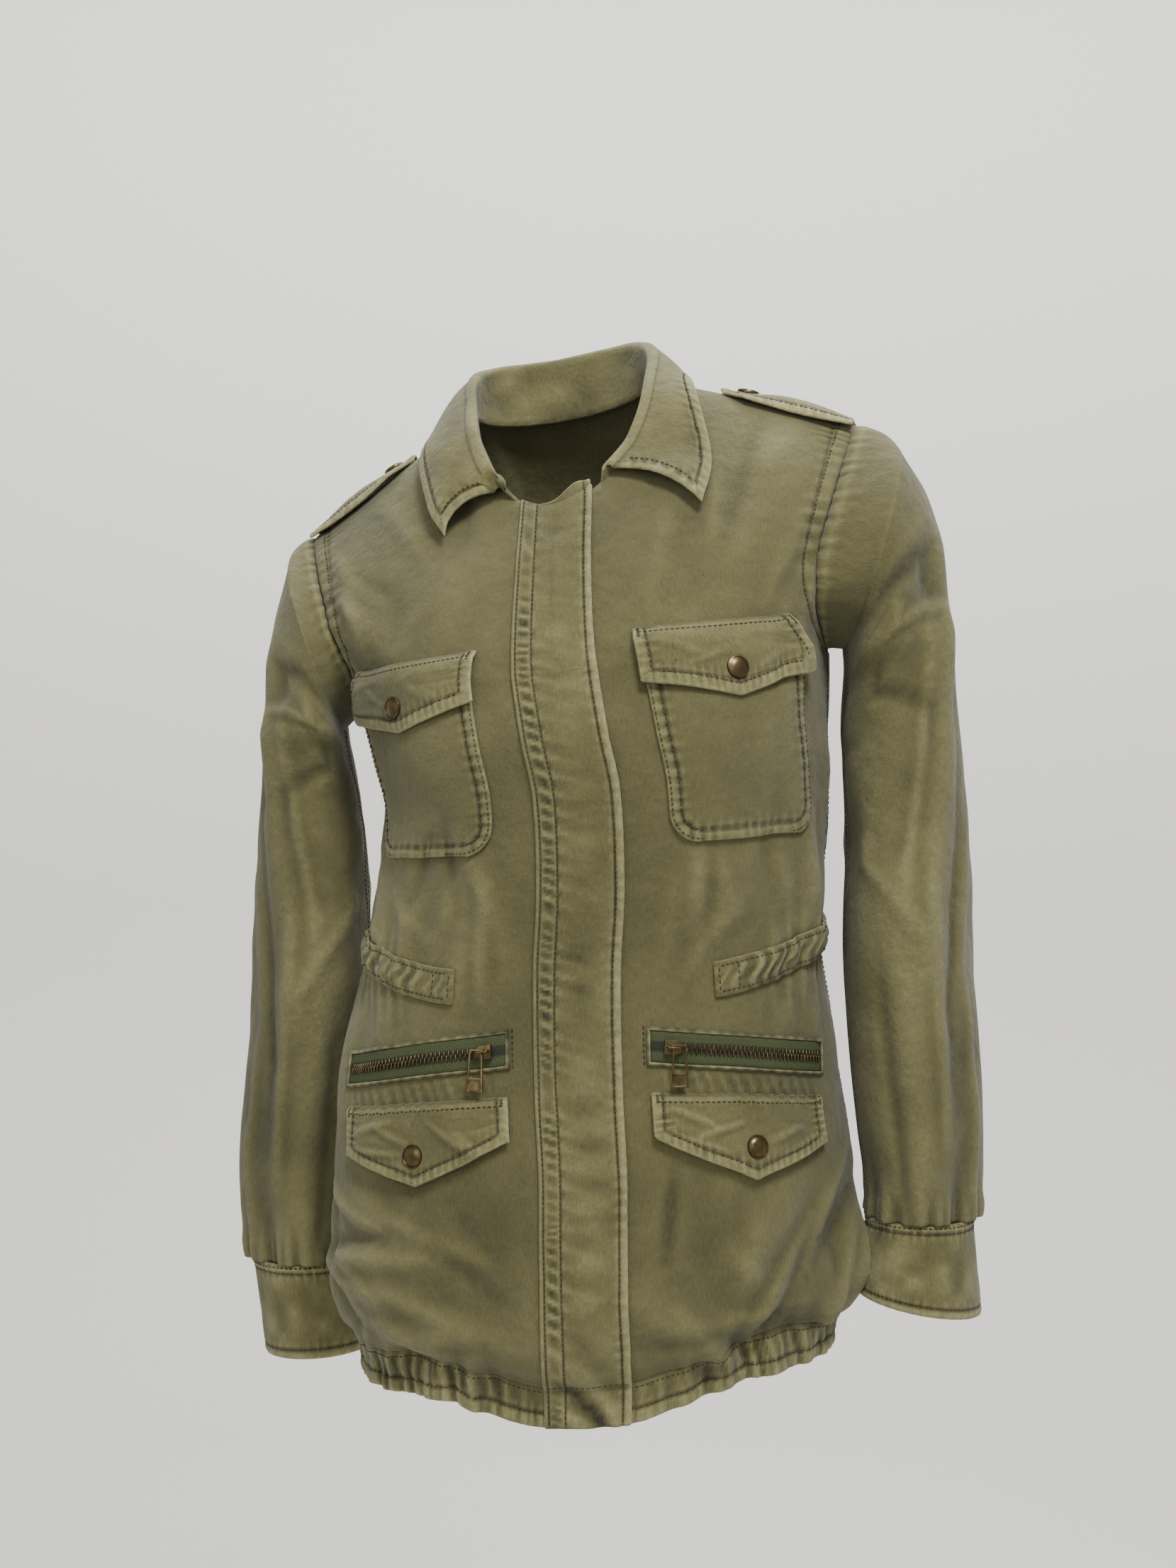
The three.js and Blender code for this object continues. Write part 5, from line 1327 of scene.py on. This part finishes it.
def sleeve(name):
    side, sections, _ = SLEEVES[name]
    first = 1 / 12
    alongs = np.concatenate([np.linspace(0, first, 15)[:-1], np.linspace(first, 1, 160)])
    turn, along = np.meshgrid(np.arange(SLEEVE_COLUMNS) / SLEEVE_COLUMNS, alongs)
    free = turned(sleeve_section(section_at(sections, np.maximum(along, first)), turn), FRAME_TURN)
    edge = armhole(side, turn[0])
    edge = edge + unit(free[0] - edge) * 0.1
    outer = (1 - np.cos(2 * math.pi * turn[0])) / 2
    puff = np.stack([side * CAP_PUFF * outer, 0 * outer, 0.7 * CAP_PUFF * outer], -1)
    middle = (edge + free[0]) / 2 + puff
    t = np.clip(along / first, 0, 1)[..., None]
    grid = np.where(t < 1, edge * (1 - t) ** 2 + middle * 2 * t * (1 - t) + free * t * t, free)
    along, turn = oriented(along, side), oriented(turn, side)
    cloth = Cloth(oriented(grid, side), closed=True)
    from_seam = along * SLEEVE_LENGTH
    seam = -0.2 * bell(from_seam / 2.5) + 0.6 * bell((from_seam - 6) / 4)
    uneven = np.sin(2 * math.pi * turn * 38 + 2 * noise(turn * 9, 0, 63))
    puckers = 0.5 * bell(from_seam / 14) * uneven
    under = np.minimum(turn, 1 - turn) * SLEEVE_GIRTH
    long_seam = -0.8 * bell(under / 1.8)
    folds = ease((along - 0.09) / 0.08) * sleeve_fold(along, turn)
    relief = folds + seam + puckers + long_seam
    # Folds and seams tint the sleeve: crests lighter, troughs and the underarm seam's groove darker as
    # painted shade.
    cloth.emboss(relief, np.clip(folds / 20, -0.3, 0.3) + 0.5 * (seam + puckers) + 0.4 * long_seam)
    finish(cloth, f"sleeve_{name}", SINGLE, rubbed_and_painted_light=0.65)
    thread = Thread()
    rows = np.arange(3, len(alongs) - 16, 1.5)
    for offset in (2.5, 8.0):
        columns = offset / 2.8 if side > 0 else SLEEVE_COLUMNS - 1 - offset / 2.8
        thread.on(cloth, rows, np.full(rows.shape, columns))
    sewn(thread, f"sleeve_{name}_thread")


def cuff(name):
    side, sections, end = SLEEVES[name]
    top = {key: column[-1] for key, column in sections.items()}
    bottom = dict(end, half_depth=42)
    heights = np.concatenate([
        [0, 0.02, 0.05, 0.09, 0.13], np.linspace(0.18, 0.82, 12), [0.87, 0.91, 0.95, 0.98, 1],
    ])
    turn, t = np.meshgrid(np.arange(CUFF_COLUMNS) / CUFF_COLUMNS, heights)
    high = sleeve_section(top, turn) - [0, 0, 1.2]
    low = sleeve_section(bottom, turn)
    grid = mix(high, low, t[..., None])
    centre = (top["outer_x"] + top["inner_x"]) / 2
    grid[..., 0] = mix(centre, grid[..., 0], 1 + 0.02 * np.sin(math.pi * t))
    cloth = Cloth(oriented(turned(grid, FRAME_TURN), side), closed=True)
    t, turn = oriented(t, side), oriented(turn, side)
    around = turn * CUFF_GIRTH
    to_edge = (1 - t) * CUFF_LENGTH
    relief = beside_stitches(to_edge, around, CUFF_ROW, 0.25, 9, 71)
    relief += beside_stitches(t * CUFF_LENGTH, around, CUFF_ROW, 0.3, 8, 72)
    creases = 1.3 * noise(turn * 8, t * 2.3 + turn * 6, 73) * np.sin(math.pi * t)
    creases += 0.5 * noise(turn * 24, t * 6, 74) * np.sin(math.pi * t)
    relief += creases * np.clip(np.minimum(turn, 1 - turn) / 0.08, 0, 1)
    # The relief tints the cuff: crests lighter, troughs darker as painted shade; its lower edge is lighter
    # from wear.
    cloth.emboss(relief, 0.4 * relief + edge_wear(to_edge, 1.6, 0.9))
    finish(cloth, f"cuff_{name}", DOUBLED)
    thread = Thread()
    columns = np.arange(0.0, CUFF_COLUMNS)
    for distance, last in ((CUFF_ROW, False), (CUFF_ROW, True), (1.8, True)):
        thread.by_end(cloth, distance, last, columns)
    sewn(thread, f"cuff_{name}_thread")


# Pockets and flaps, laid out in mm: girth from the centre front, level, and how far they stand out.
CHEST_POCKET = dict(inner=57, outer=165, top=-182, bottom=-303, corner=20, lift=0.8)
POCKET_ROW = 7.0


def rightwards(field, side):
    return field if side > 0 else field[:, ::-1]


def chest_pocket_lift(girth, level):
    shape = CHEST_POCKET
    middle = hump((girth - shape["inner"]) / (shape["outer"] - shape["inner"]))
    low = np.clip((level - shape["bottom"]) / 40, 0, 1)
    high = np.clip((shape["top"] - level) / 50, 0, 1)
    slack = 1.4 * middle * low * high
    crumple = 0.9 * noise(girth / 24, level / 30, 81) * np.clip((level - shape["bottom"]) / 14, 0, 1) * middle
    return shape["lift"] + CLOTH + slack + crumple + 0.25


def pocket_outline(inset):
    """Girths and levels down one side, round the corners and up the other, inset from the edge."""
    shape = CHEST_POCKET
    radius = shape["corner"] - inset
    low = shape["bottom"] + shape["corner"]
    left, right = shape["inner"] + shape["corner"], shape["outer"] - shape["corner"]
    levels = np.linspace(shape["top"] - 1, low, 40)
    points = [(shape["inner"] + inset, level) for level in levels]
    for centre, start in ((left, 180), (right, 270)):
        for angle in np.radians(np.linspace(start, start + 90, 12)):
            points.append((centre + radius * math.cos(angle), low + radius * math.sin(angle)))
    points += [(shape["outer"] - inset, level) for level in levels[::-1]]
    return np.array(points).T


def chest_pocket(side):
    name = SIDE_NAMES[side]
    shape = CHEST_POCKET
    corner = shape["corner"]
    to_top = np.linspace(corner, shape["top"] - shape["bottom"], 46)
    t = np.concatenate([np.linspace(0, 1, 12)[:-1] ** 1.5 * corner, to_top])
    level = shape["bottom"] + t
    into = np.clip(1 - t / corner, 0, 1)
    inset = corner * (1 - np.sqrt(1 - (into * 0.97) ** 2))
    u = np.concatenate([[0, 0.008, 0.02, 0.035], np.linspace(0.05, 0.95, 44), [0.965, 0.98, 0.992, 1]])
    girth = mix((shape["inner"] + inset)[:, None], (shape["outer"] - inset)[:, None], u[None, :])
    level = np.broadcast_to(level[:, None], girth.shape)
    cloth = Cloth(rightwards(on_body(side * girth, level, chest_pocket_lift(girth, level)), side))
    beyond = np.maximum(shape["inner"] - girth, girth - shape["outer"])
    corner_x = np.clip(beyond + corner, 0, corner)
    corner_z = np.clip(shape["bottom"] + corner - level, 0, corner)
    distance = corner - np.hypot(corner_x, corner_z)
    along = np.where(corner_x > corner_z, level, girth)
    relief = rightwards(beside_stitches(distance, along, POCKET_ROW, 0.3, 9, 82), side)
    # The relief tints the pocket: puffs lighter, the stitch trough darker as painted shade; its edges are
    # lighter from wear.
    cloth.emboss(relief, 0.5 * relief + rightwards(edge_wear(distance, 1.4, 0.6), side))
    finish(cloth, f"chest_pocket_{name}", SINGLE)
    thread = Thread()
    for inset, raised in ((1.6, 0.2), (POCKET_ROW, -0.25)):
        girths, levels = pocket_outline(inset)
        sew_on_body(thread, side, girths, levels, chest_pocket_lift(girths, levels) + raised)
    sewn(thread, f"chest_pocket_{name}_thread")


def sew_on_body(thread, side, girths, levels, lift):
    path = on_body(side * girths, levels, lift)
    _, around, up = body_place(side * girths, levels)
    thread.row(path, outward(body_cloth, float(side), around, up))


CHEST_FLAP = dict(
    inner=54, outer=169, top=-170, slope=0, inner_drop=34, outer_drop=34, point=47, point_at=0.52, row=7.5,
    snap=(113, -201),
)
LOWER_FLAP = dict(
    inner=46, outer=168, top=-461, slope=0.13, inner_drop=27, outer_drop=31, point=55, point_at=0.52, row=6.5,
    snap=(110, -503),
)


def chest_flap_lift(u, fallen):
    return 0.1 + 3.8 * ease(4 * fallen) + 1.6 * fallen * (0.6 + 0.4 * np.sin(9 * u))


def lower_flap_lift(u, fallen):
    return 0.7 + 3.4 * fallen**1.5 * (0.8 + 0.2 * np.sin(11 * u))


# Creases that run to a flap's snap: x from its inner edge, y down from its top
FLAP_CREASES = table("x1 y1 x2 y2 width height", [
    [14, 9, 38, 20, 3, 1.9],
    [30, 26, 60, 17, 3, 1.7],
    [57, 8, 63, 30, 2.6, -1.5],
    [72, 31, 103, 18, 3.2, 2],
    [80, 12, 111, 20, 3, -1.6],
    [12, 27, 44, 36, 3, 1.7],
    [90, 36, 113, 27, 2.8, 1.6],
    [44, 42, 58, 47, 2.6, 1.3],
])


def flap_crease(x, y, side):
    """The right flaps have the left ones' creases turned about, higher or lower."""
    rows = list(zip(*FLAP_CREASES.values()))
    if side < 0:
        span = LOWER_FLAP["outer"] - LOWER_FLAP["inner"]
        rows = [(span - x1, y2 * 0.8, span - x2, y1 * 1.2, *size) for x1, y1, x2, y2, *size in rows]
    return creased(x, y, rows)


def evened(surface, rounds):
    """The surface with its inner points drawn in or out towards their neighbours, so that cloth that
    spans a tight fold doesn't turn over on itself."""
    normals = grid_normals(surface)[1:-1, 1:-1]
    surface = surface.copy()
    for _ in range(rounds):
        inner = surface[1:-1, 1:-1]
        around_it = surface[:-2, 1:-1] + surface[2:, 1:-1] + surface[1:-1, :-2] + surface[1:-1, 2:]
        offset = ((around_it / 4 - inner) * normals).sum(-1, keepdims=True)
        surface[1:-1, 1:-1] = inner + offset / 2 * normals
    return surface


def flap(kind, side, shape, lifts, crumple_height, seed):
    name = SIDE_NAMES[side]
    u = np.concatenate([
        [0, 0.007, 0.02, 0.036, 0.052, 0.07], np.linspace(0.085, 0.915, 76),
        [0.93, 0.948, 0.964, 0.98, 0.993, 1],
    ])
    t = np.concatenate([[0, 0.012, 0.035, 0.07, 0.11, 0.15, 0.19], np.linspace(0.23, 0.97, 27), [1]])
    u, t = np.meshgrid(u, t)
    ahead = u / shape["point_at"]
    beyond = (u - shape["point_at"]) / (1 - shape["point_at"])
    inner_part = mix(shape["inner_drop"], shape["point"], ahead)
    drop = np.where(ahead < 1, inner_part, mix(shape["point"], shape["outer_drop"], beyond))
    girth = mix(shape["inner"], shape["outer"], u)
    fallen = 1 - t
    level = shape["top"] - shape["slope"] * (girth - shape["inner"]) - drop * fallen
    to_bottom = drop * t * 0.96
    distance = np.minimum(to_bottom, np.minimum(girth - shape["inner"], shape["outer"] - girth))
    inside = np.clip(distance / 9, 0, 1)
    creases = flap_crease(girth - shape["inner"], drop * fallen, side)
    crumple = crumple_height * inside * (0.5 * noise(girth / 19, level / 13, seed) + creases / 1.2)
    snap_girth, snap_level = shape["snap"]
    flat_there = 1 - np.exp(-((girth - snap_girth) ** 2 + (level - snap_level) ** 2) / 13**2)
    crumple = crumple * np.clip(fallen * 4, 0, 1) * flat_there
    lift = SEAM_GAP + DOUBLE + lifts(u, fallen) + 0.55
    cloth = Cloth(evened(rightwards(on_body(side * girth, level, lift), side), 8))
    along = np.where(distance < to_bottom - 0.01, level, girth)
    relief = beside_stitches(distance, along, shape["row"], 0.26, 6.5, seed + 2)
    top_seam = -0.7 * bell((drop * fallen) / 1.5) + 0.3 * bell((drop * fallen - 4) / 3)
    relief = rightwards(relief + top_seam, side)
    # The relief tints the flap: puffs lighter, the stitch trough and the groove at its top seam darker as
    # painted shade; its edges are lighter from wear.
    wear_and_shade = 0.6 * relief + rightwards(0.05 * crumple + edge_wear(distance, 1.1, 0.9), side)
    cloth.emboss(relief + rightwards(np.maximum(crumple, -0.15), side), wear_and_shade)
    finish(cloth, f"{kind}_{name}", DOUBLED, rubbed_and_painted_light=0.45)
    thread = Thread()
    columns = np.arange(6.0, u.shape[1] - 6)
    thread.by_end(cloth, shape["row"], False, columns)
    rows = np.arange(7.0, u.shape[0] - 1, 1.0)
    for last in (False, True):
        thread.by_side(cloth, shape["row"], last, rows)
    columns = np.arange(2.0, u.shape[1] - 2)
    thread.by_end(cloth, 5.0, True, columns)
    tack = np.linspace(u.shape[0] - 8.0, u.shape[0] - 1.6, 8)
    for last in (False, True):
        for distance in (2.6, 3.5):
            thread.by_side(cloth, distance, last, tack, TACK_PITCH)
    sewn(thread, f"{kind}_{name}_thread")
    return cloth


# Hip zips
ZIP = dict(inner=46, outer=172, level=-431, slope=0.16, half=10, slider_at=60)
TAPE = dict(lift=0.7, thickness=0.9)
RIM_CELL = 2 * MM
SLIDER_LENGTH = 11
TOOTH = dict(pitch=3.0, length=4.3, width=1.15, height=1.4)


def zip_level(girth):
    return ZIP["level"] - ZIP["slope"] * (girth - ZIP["inner"])


def zip_rim(side):
    """The folded edge of the pocket's mouth, as a rounded roll of cloth round the window."""
    name = SIDE_NAMES[side]
    corners = [(ZIP["inner"], -1), (ZIP["outer"], -1), (ZIP["outer"], 1), (ZIP["inner"], 1)]
    counts = [64, 10, 64, 10]
    sections = []
    for (girth, edge), (next_girth, next_edge), count in zip(corners, corners[1:] + corners[:1], counts):
        for t in np.arange(count) / count:
            sections.append((mix(girth, next_girth, t), mix(edge, next_edge, t)))
    g, e = np.array(sections).T
    out_g = np.where(g <= ZIP["inner"] + 1e-6, -1, np.where(g >= ZIP["outer"] - 1e-6, 1, 0))
    out_e = np.where(np.abs(e) > 1 - 1e-6, np.sign(e), 0)
    profile = [(0, 0), (0, 1.5), (0.4, 2.0), (1.0, 2.2), (1.8, 1.9), (2.5, 1.1), (2.7, 0)]
    pucker = 0.22 * np.sin(np.arange(len(g)) * 1.35) + 0.2 * noise(np.arange(len(g)) / 5, 0, 91)
    rows = []
    for off, height in profile:
        level = zip_level(g) + e * ZIP["half"] + out_e * off
        lift = TAPE["lift"] - 0.3 + height + pucker * (height > 1)
        rows.append(on_body(side * (g + out_g * off), level, lift))
    grid = rightwards(np.array(rows), side)
    count, length = grid.shape[:2]
    r, c = cells(count, length)
    next_r, next_c = (r + 1) % count, (c + 1) % length
    quads = np.stack([r, r, next_r, next_r], -1) * length + np.stack([c, next_c, next_c, c], -1)
    uv = (np.stack([c, r], -1)[:, None] + [[0, 0], [1, 0], [1, 1], [0, 1]]) * RIM_CELL
    # The roll is darker on its inner face, next to the window, and on its outer side, as painted shade, and
    # lighter near its crest as a painted highlight with some wear; its puckers are tinted by their height.
    wear_and_shade = np.repeat([-0.8, -0.6, 0.5, 0.2, -0.3, -0.4, -0.4], length) + np.tile(pucker * 1.4, count)
    piece = mesh_piece(f"zip_rim_{name}_cloth", grid.reshape(-1, 3), quads[:, ::-1], uv, wear_and_shade, TRIM)
    dressed(piece, f"zip_rim_{name}")
    thread = Thread()
    reach = ZIP["half"] + 3
    for girth in (ZIP["inner"] - 4.2, ZIP["outer"] + 4.2):
        across = np.linspace(-reach, reach, 20)
        sew_on_body(thread, side, np.full(20, float(girth)), zip_level(girth) + across, 0.15)
    sewn(thread, f"zip_{name}_thread")


def zip_tape(side):
    name = SIDE_NAMES[side]
    inside = SEAM_GAP + 0.1
    girths = np.linspace(ZIP["inner"] + inside, ZIP["outer"] - inside, 60)
    girth, t = np.meshgrid(girths, np.linspace(-1, 1, 9))
    level = zip_level(girth) + t * (ZIP["half"] - inside)
    chain = 0.35 * bell(t / 0.3)
    cloth = Cloth(rightwards(on_body(side * girth, level, TAPE["lift"] + TAPE["thickness"] + chain), side))
    finish(cloth, f"zip_tape_{name}", (TAPE["thickness"], TAPE_CLOTH, "green_tape"))


def zip_teeth(side):
    """Meshed brass teeth from the slider to the closed end."""
    name = SIDE_NAMES[side]
    start = ZIP["slider_at"] + SLIDER_LENGTH / 2 + 0.8
    girths = np.arange(start, ZIP["outer"] - 2.5, TOOTH["pitch"] / 2)
    upper = np.arange(len(girths)) % 2 * 2 - 1
    base = TAPE["lift"] + TAPE["thickness"]

    def on_tape(girth, lift):
        return on_body(side * girth, zip_level(girth), base + lift)

    at = on_tape(girths, 0)
    out = unit(on_tape(girths, 3) - at)
    way = unit(on_tape(girths + 2, 0) - on_tape(girths - 2, 0))
    across = np.cross(out, way) * side
    half_width, length, height = TOOTH["width"] / 2, TOOTH["length"], TOOTH["height"]
    reach = 0.7
    # A tooth's outline along the tape, seen from above, narrow where it meshes
    ring = [(-0.5, -reach), (0.5, -reach), (1, 0.4), (1, length - reach), (-1, length - reach), (-1, 0.4)]
    points = []
    for lift, scale in ((-0.3, 1), (height * 0.7, 1), (height, 0.7)):
        for x, y in ring:
            points.append(
                at + way * half_width * x * scale
                + across * (upper * ((y - length / 2 + reach) * scale + length / 2 - reach))[:, None]
                + out * lift
            )
    points = np.stack(points, 1).reshape(-1, 3)
    first = (np.arange(len(girths)) * 18)[:, None, None]
    quads = [[a + k, a + (k + 1) % 6, a + 6 + (k + 1) % 6, a + 6 + k] for a in (0, 6) for k in range(6)]
    quads += [[12, 13, 14, 17], [14, 15, 16, 17], [5, 2, 1, 0], [5, 4, 3, 2]]
    faces = first + np.array(quads)
    flipped = (upper * side > 0)[:, None, None]
    faces = np.where(flipped, faces, faces[..., ::-1])
    piece = mesh_piece(f"zip_teeth_{name}_brass", points, faces.reshape(-1, 4), material=BRASS)
    dressed(piece, f"zip_teeth_{name}")


# Shoulder straps
STRAP = dict(reach=82, half=19, tip=0.8, bow=4, droop=2, snap_at=0.8, lift=4)
STRAP_ROW = 6.0


def strap_point(side, along, across, lift):
    x = SHOULDER["half_width"] - 1 - STRAP["reach"] * along
    from_neck = (x - NECK["half_width"]) / (SHOULDER["half_width"] - NECK["half_width"])
    ridge = top_edge(np.maximum(mix(NECK_SHARE, 1, from_neck), NECK_SHARE), False)[2]
    narrow = np.where(along > STRAP["tip"], 1 - 0.72 * (along - STRAP["tip"]) / (1 - STRAP["tip"]), 1)
    arch = hump(along / STRAP["snap_at"]) ** 1.2
    sag = (2.5 + 6.5 * arch) * np.maximum(-across, 0) ** 2
    z = ridge + lift + STRAP["bow"] * arch - STRAP["droop"] * across * across - sag
    return pose(np.stack([side * x + 0 * z, NECK["ridge_y"] + STRAP["half"] * across * narrow, z], -1))


def epaulette(side):
    name = SIDE_NAMES[side]
    along = np.concatenate([
        [0, 0.01, 0.03, 0.05], np.linspace(0.08, 0.8, 34), [0.84, 0.88, 0.92, 0.95, 0.98, 1],
    ])
    border = np.array([0.66, 0.74, 0.82, 0.9, 0.97, 1])
    across = np.concatenate([-border[::-1], np.linspace(-0.55, 0.55, 12), border])
    along, across = np.meshgrid(along[::-1] if side > 0 else along, across)
    cloth = Cloth(strap_point(side, along, across, STRAP["lift"]))
    to_side = (1 - np.abs(across)) * STRAP["half"]
    to_tip = (1 - along) * STRAP["reach"]
    distance = np.minimum(to_side, to_tip)
    length = along * STRAP["reach"]
    relief = beside_stitches(distance, length, STRAP_ROW, 0.25, 8, 101)
    crumple = 0.6 * noise(length / 14, across * 2 + length / 40, 102) * np.clip(distance / 8, 0, 1)
    # The relief tints the strap: crests lighter, troughs darker as painted shade; its edges are lighter from
    # wear.
    cloth.emboss(relief + crumple, 0.5 * relief + 0.3 * crumple + edge_wear(distance, 1.6, 1.0))
    finish(cloth, f"epaulette_{name}", DOUBLED)
    thread = Thread()
    columns = np.arange(2.0, along.shape[1] - 4) if side < 0 else np.arange(4.0, along.shape[1] - 2)
    for last in (False, True):
        thread.by_end(cloth, STRAP_ROW, last, columns)
    sewn(thread, f"epaulette_{name}_thread")


# Brass fittings


SNAP_RADIUS = 7.5 * MM
SNAP_BASE = 0.9 * MM
# How far in and up each ring of the cap lies from the one outside it, in mm
SNAP_RINGS = ((0.35, 0.8), (0.55, 0.15), (0.4, -0.5), (0.35, 0.05), (0.9, 0.65), (1.3, 0.4), (1.6, 0.2))


def brass_piece(name, mesh):
    mesh.name = name
    mesh.materials.clear()
    mesh.materials.append(BRASS)
    piece = bpy.data.objects.new(f"{name}_brass", mesh)
    bpy.context.scene.collection.objects.link(piece)
    return piece


def deselect():
    bpy.ops.object.select_all(action="DESELECT")


def snap_pattern():
    """A domed cap with a turned ring, 15 mm across, facing up and centred on the origin."""
    deselect()
    middle = (0, 0, SNAP_BASE / 2)
    bpy.ops.mesh.primitive_cylinder_add(vertices=36, radius=SNAP_RADIUS, depth=SNAP_BASE, location=middle)
    piece = bpy.context.active_object
    bpy.ops.object.mode_set(mode="EDIT")
    bpy.ops.mesh.select_mode(type="FACE")
    bpy.ops.mesh.select_all(action="DESELECT")
    bpy.ops.object.mode_set(mode="OBJECT")
    for face in piece.data.polygons:
        face.select = face.normal.z > 0.9
    bpy.ops.object.mode_set(mode="EDIT")
    for inset, rise in SNAP_RINGS:
        bpy.ops.mesh.inset(thickness=inset * MM, depth=0)
        bpy.ops.transform.translate(value=(0, 0, rise * MM))
    bpy.ops.object.mode_set(mode="OBJECT")
    bpy.ops.object.shade_smooth_by_angle(angle=math.radians(50))
    return piece


def snap_cap(pattern, name, at, out):
    """A copy of the pattern, seated on the cloth."""
    piece = brass_piece(name, pattern.data.copy())
    turn = Vector((0, 0, 1)).rotation_difference(Vector(out)).to_matrix().to_4x4()
    piece.data.transform(Matrix.Translation(Vector(at) * MM) @ turn)
    dressed(piece, name)


def snap_on_cloth(pattern, name, cloth, girth, level):
    """A snap on the cloth where it lies nearest to a place on the body."""
    target = on_body(float(girth), float(level), 6.0)
    nearest = np.argmin(np.linalg.norm(cloth.grid - target, axis=2))
    place = np.unravel_index(nearest, cloth.grid.shape[:2])
    out = cloth.normals[place]
    snap_cap(pattern, name, cloth.grid[place] + out * 0.1, out)


def snap_on_strap(pattern, name, side):
    def at(along, across):
        return strap_point(side, STRAP["snap_at"] + along, across, STRAP["lift"])

    out = unit(np.cross(at(-0.05, 0.0) - at(0.05, 0.0), at(0.0, 0.2) - at(0.0, -0.2)))
    out = out if out[2] > 0 else -out
    snap_cap(pattern, name, at(0.0, 0.0) + out * 0.7, out)


def softened(name, width, body):
    """A cast fitting: its CAD solid with merged points and rounded edges."""
    piece = brass_piece(name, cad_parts[name].data.copy())
    mesh = piece.data
    work = bmesh.new()
    work.from_mesh(mesh)
    bmesh.ops.remove_doubles(work, verts=work.verts, dist=0.01 * MM)
    bmesh.ops.dissolve_limit(work, angle_limit=math.radians(2), verts=work.verts, edges=work.edges)
    work.to_mesh(mesh)
    work.free()
    deselect()
    bpy.context.view_layer.objects.active = piece
    piece.select_set(True)
    bevel = piece.modifiers.new("rounded", "BEVEL")
    bevel.width, bevel.segments, bevel.limit_method = width, 3, "ANGLE"
    bpy.ops.object.modifier_apply(modifier=bevel.name)
    bpy.ops.object.shade_smooth_by_angle(angle=math.radians(40))
    dressed(piece, name, body=body)


# The whole jacket

back_panel()
hem_band()
waist_casing()
fly_flap()
collar()
pattern = snap_pattern()
for side in (1, -1):
    name = SIDE_NAMES[side]
    front_panel(side)
    sleeve(name)
    cuff(name)
    chest_pocket(side)
    chest = flap("chest_flap", side, CHEST_FLAP, chest_flap_lift, 0.55, 110 + side)
    lower = flap("lower_flap", side, LOWER_FLAP, lower_flap_lift, 1.5, 120 + side)
    zip_rim(side)
    zip_tape(side)
    zip_teeth(side)
    epaulette(side)
    for kind, cloth, shape in (("chest_snap", chest, CHEST_FLAP), ("lower_snap", lower, LOWER_FLAP)):
        girth, level = shape["snap"]
        snap_on_cloth(pattern, f"{kind}_{name}", cloth, side * girth, level)
    snap_on_strap(pattern, f"epaulette_snap_{name}", side)
    softened(f"zip_slider_{name}", 0.35 * MM, JACKET)
    softened(f"pull_tab_{name}", 0.28 * MM, f"pull_tab_{name}")
bpy.data.objects.remove(pattern)


# Camera, light and floor

CAMERA_DISTANCE = 1.4
CAMERA_HEIGHT = -0.2635
FLOOR = -1.42
FLOOR_RADIUS = 2.3
CURVE = 0.9
VIEW_HEIGHT = 1.08  # how much of the object's plane the photograph's height shows


def camera():
    data = bpy.data.cameras.new("camera")
    data.sensor_fit = "VERTICAL"
    data.angle_y = 2 * math.atan(VIEW_HEIGHT / 2 / CAMERA_DISTANCE)
    made = bpy.data.objects.new("camera", data)
    made.location = (
        CAMERA_DISTANCE * math.sin(FRAME_TURN), -CAMERA_DISTANCE * math.cos(FRAME_TURN), CAMERA_HEIGHT
    )
    made.rotation_euler = (math.pi / 2, 0, FRAME_TURN)
    bpy.context.scene.collection.objects.link(made)
    bpy.context.scene.camera = made


def softbox(name, place, size, power, aim=(0, 0, -0.35)):
    data = bpy.data.lights.new(name, "AREA")
    data.shape = "RECTANGLE"
    data.size, data.size_y = size
    data.energy = power
    light = bpy.data.objects.new(name, data)
    light.location = place
    light.rotation_euler = (Vector(aim) - Vector(place)).to_track_quat("-Z", "Y").to_euler()
    bpy.context.scene.collection.objects.link(light)


def studio():
    """A pale floor that curves up all round into a wall."""
    bend = np.radians(np.linspace(10, 90, 9))
    curve = [(FLOOR_RADIUS + CURVE * math.sin(a), CURVE - CURVE * math.cos(a)) for a in bend]
    wall_radius = FLOOR_RADIUS + CURVE
    profile = [(0.001, 0), (1.4, 0), (FLOOR_RADIUS, 0)] + curve + [(wall_radius, 2.0), (wall_radius, 4.2)]
    count = 72
    angles = np.arange(count) / count * 2 * math.pi
    points = np.array([[(r * math.cos(a), r * math.sin(a), FLOOR + z) for a in angles] for r, z in profile])
    r, c = cells(len(profile) - 1, count)
    quads = np.stack([r, r + 1, r + 1, r], -1) * count + np.stack([c, c, c + 1, c + 1], -1) % count
    material, _ = new_material("painted studio wall", "#c8c7c4", 0.9)
    wall = mesh_piece("studio", points.reshape(-1, 3) / MM, quads, material=material)
    world = bpy.data.worlds.new("soft light")
    world.use_nodes = True
    feed(world, world.node_tree.nodes["Background"], {"Color": srgb("#f4f4f2"), "Strength": 0.5})
    bpy.context.scene.world = world
    softbox("key", (0.6, -1.45, 1.4), (0.6, 0.6), 55)
    softbox("fill", (-0.5, -2.1, 0.3), (1.4, 1.4), 16)
    softbox("top", (0.3, 0.3, 1.9), (1.6, 1.6), 34)
    softbox("wall light", (0.0, 1.0, 1.9), (2.4, 0.8), 150, aim=(0, 3.2, -0.2))


camera()
studio()
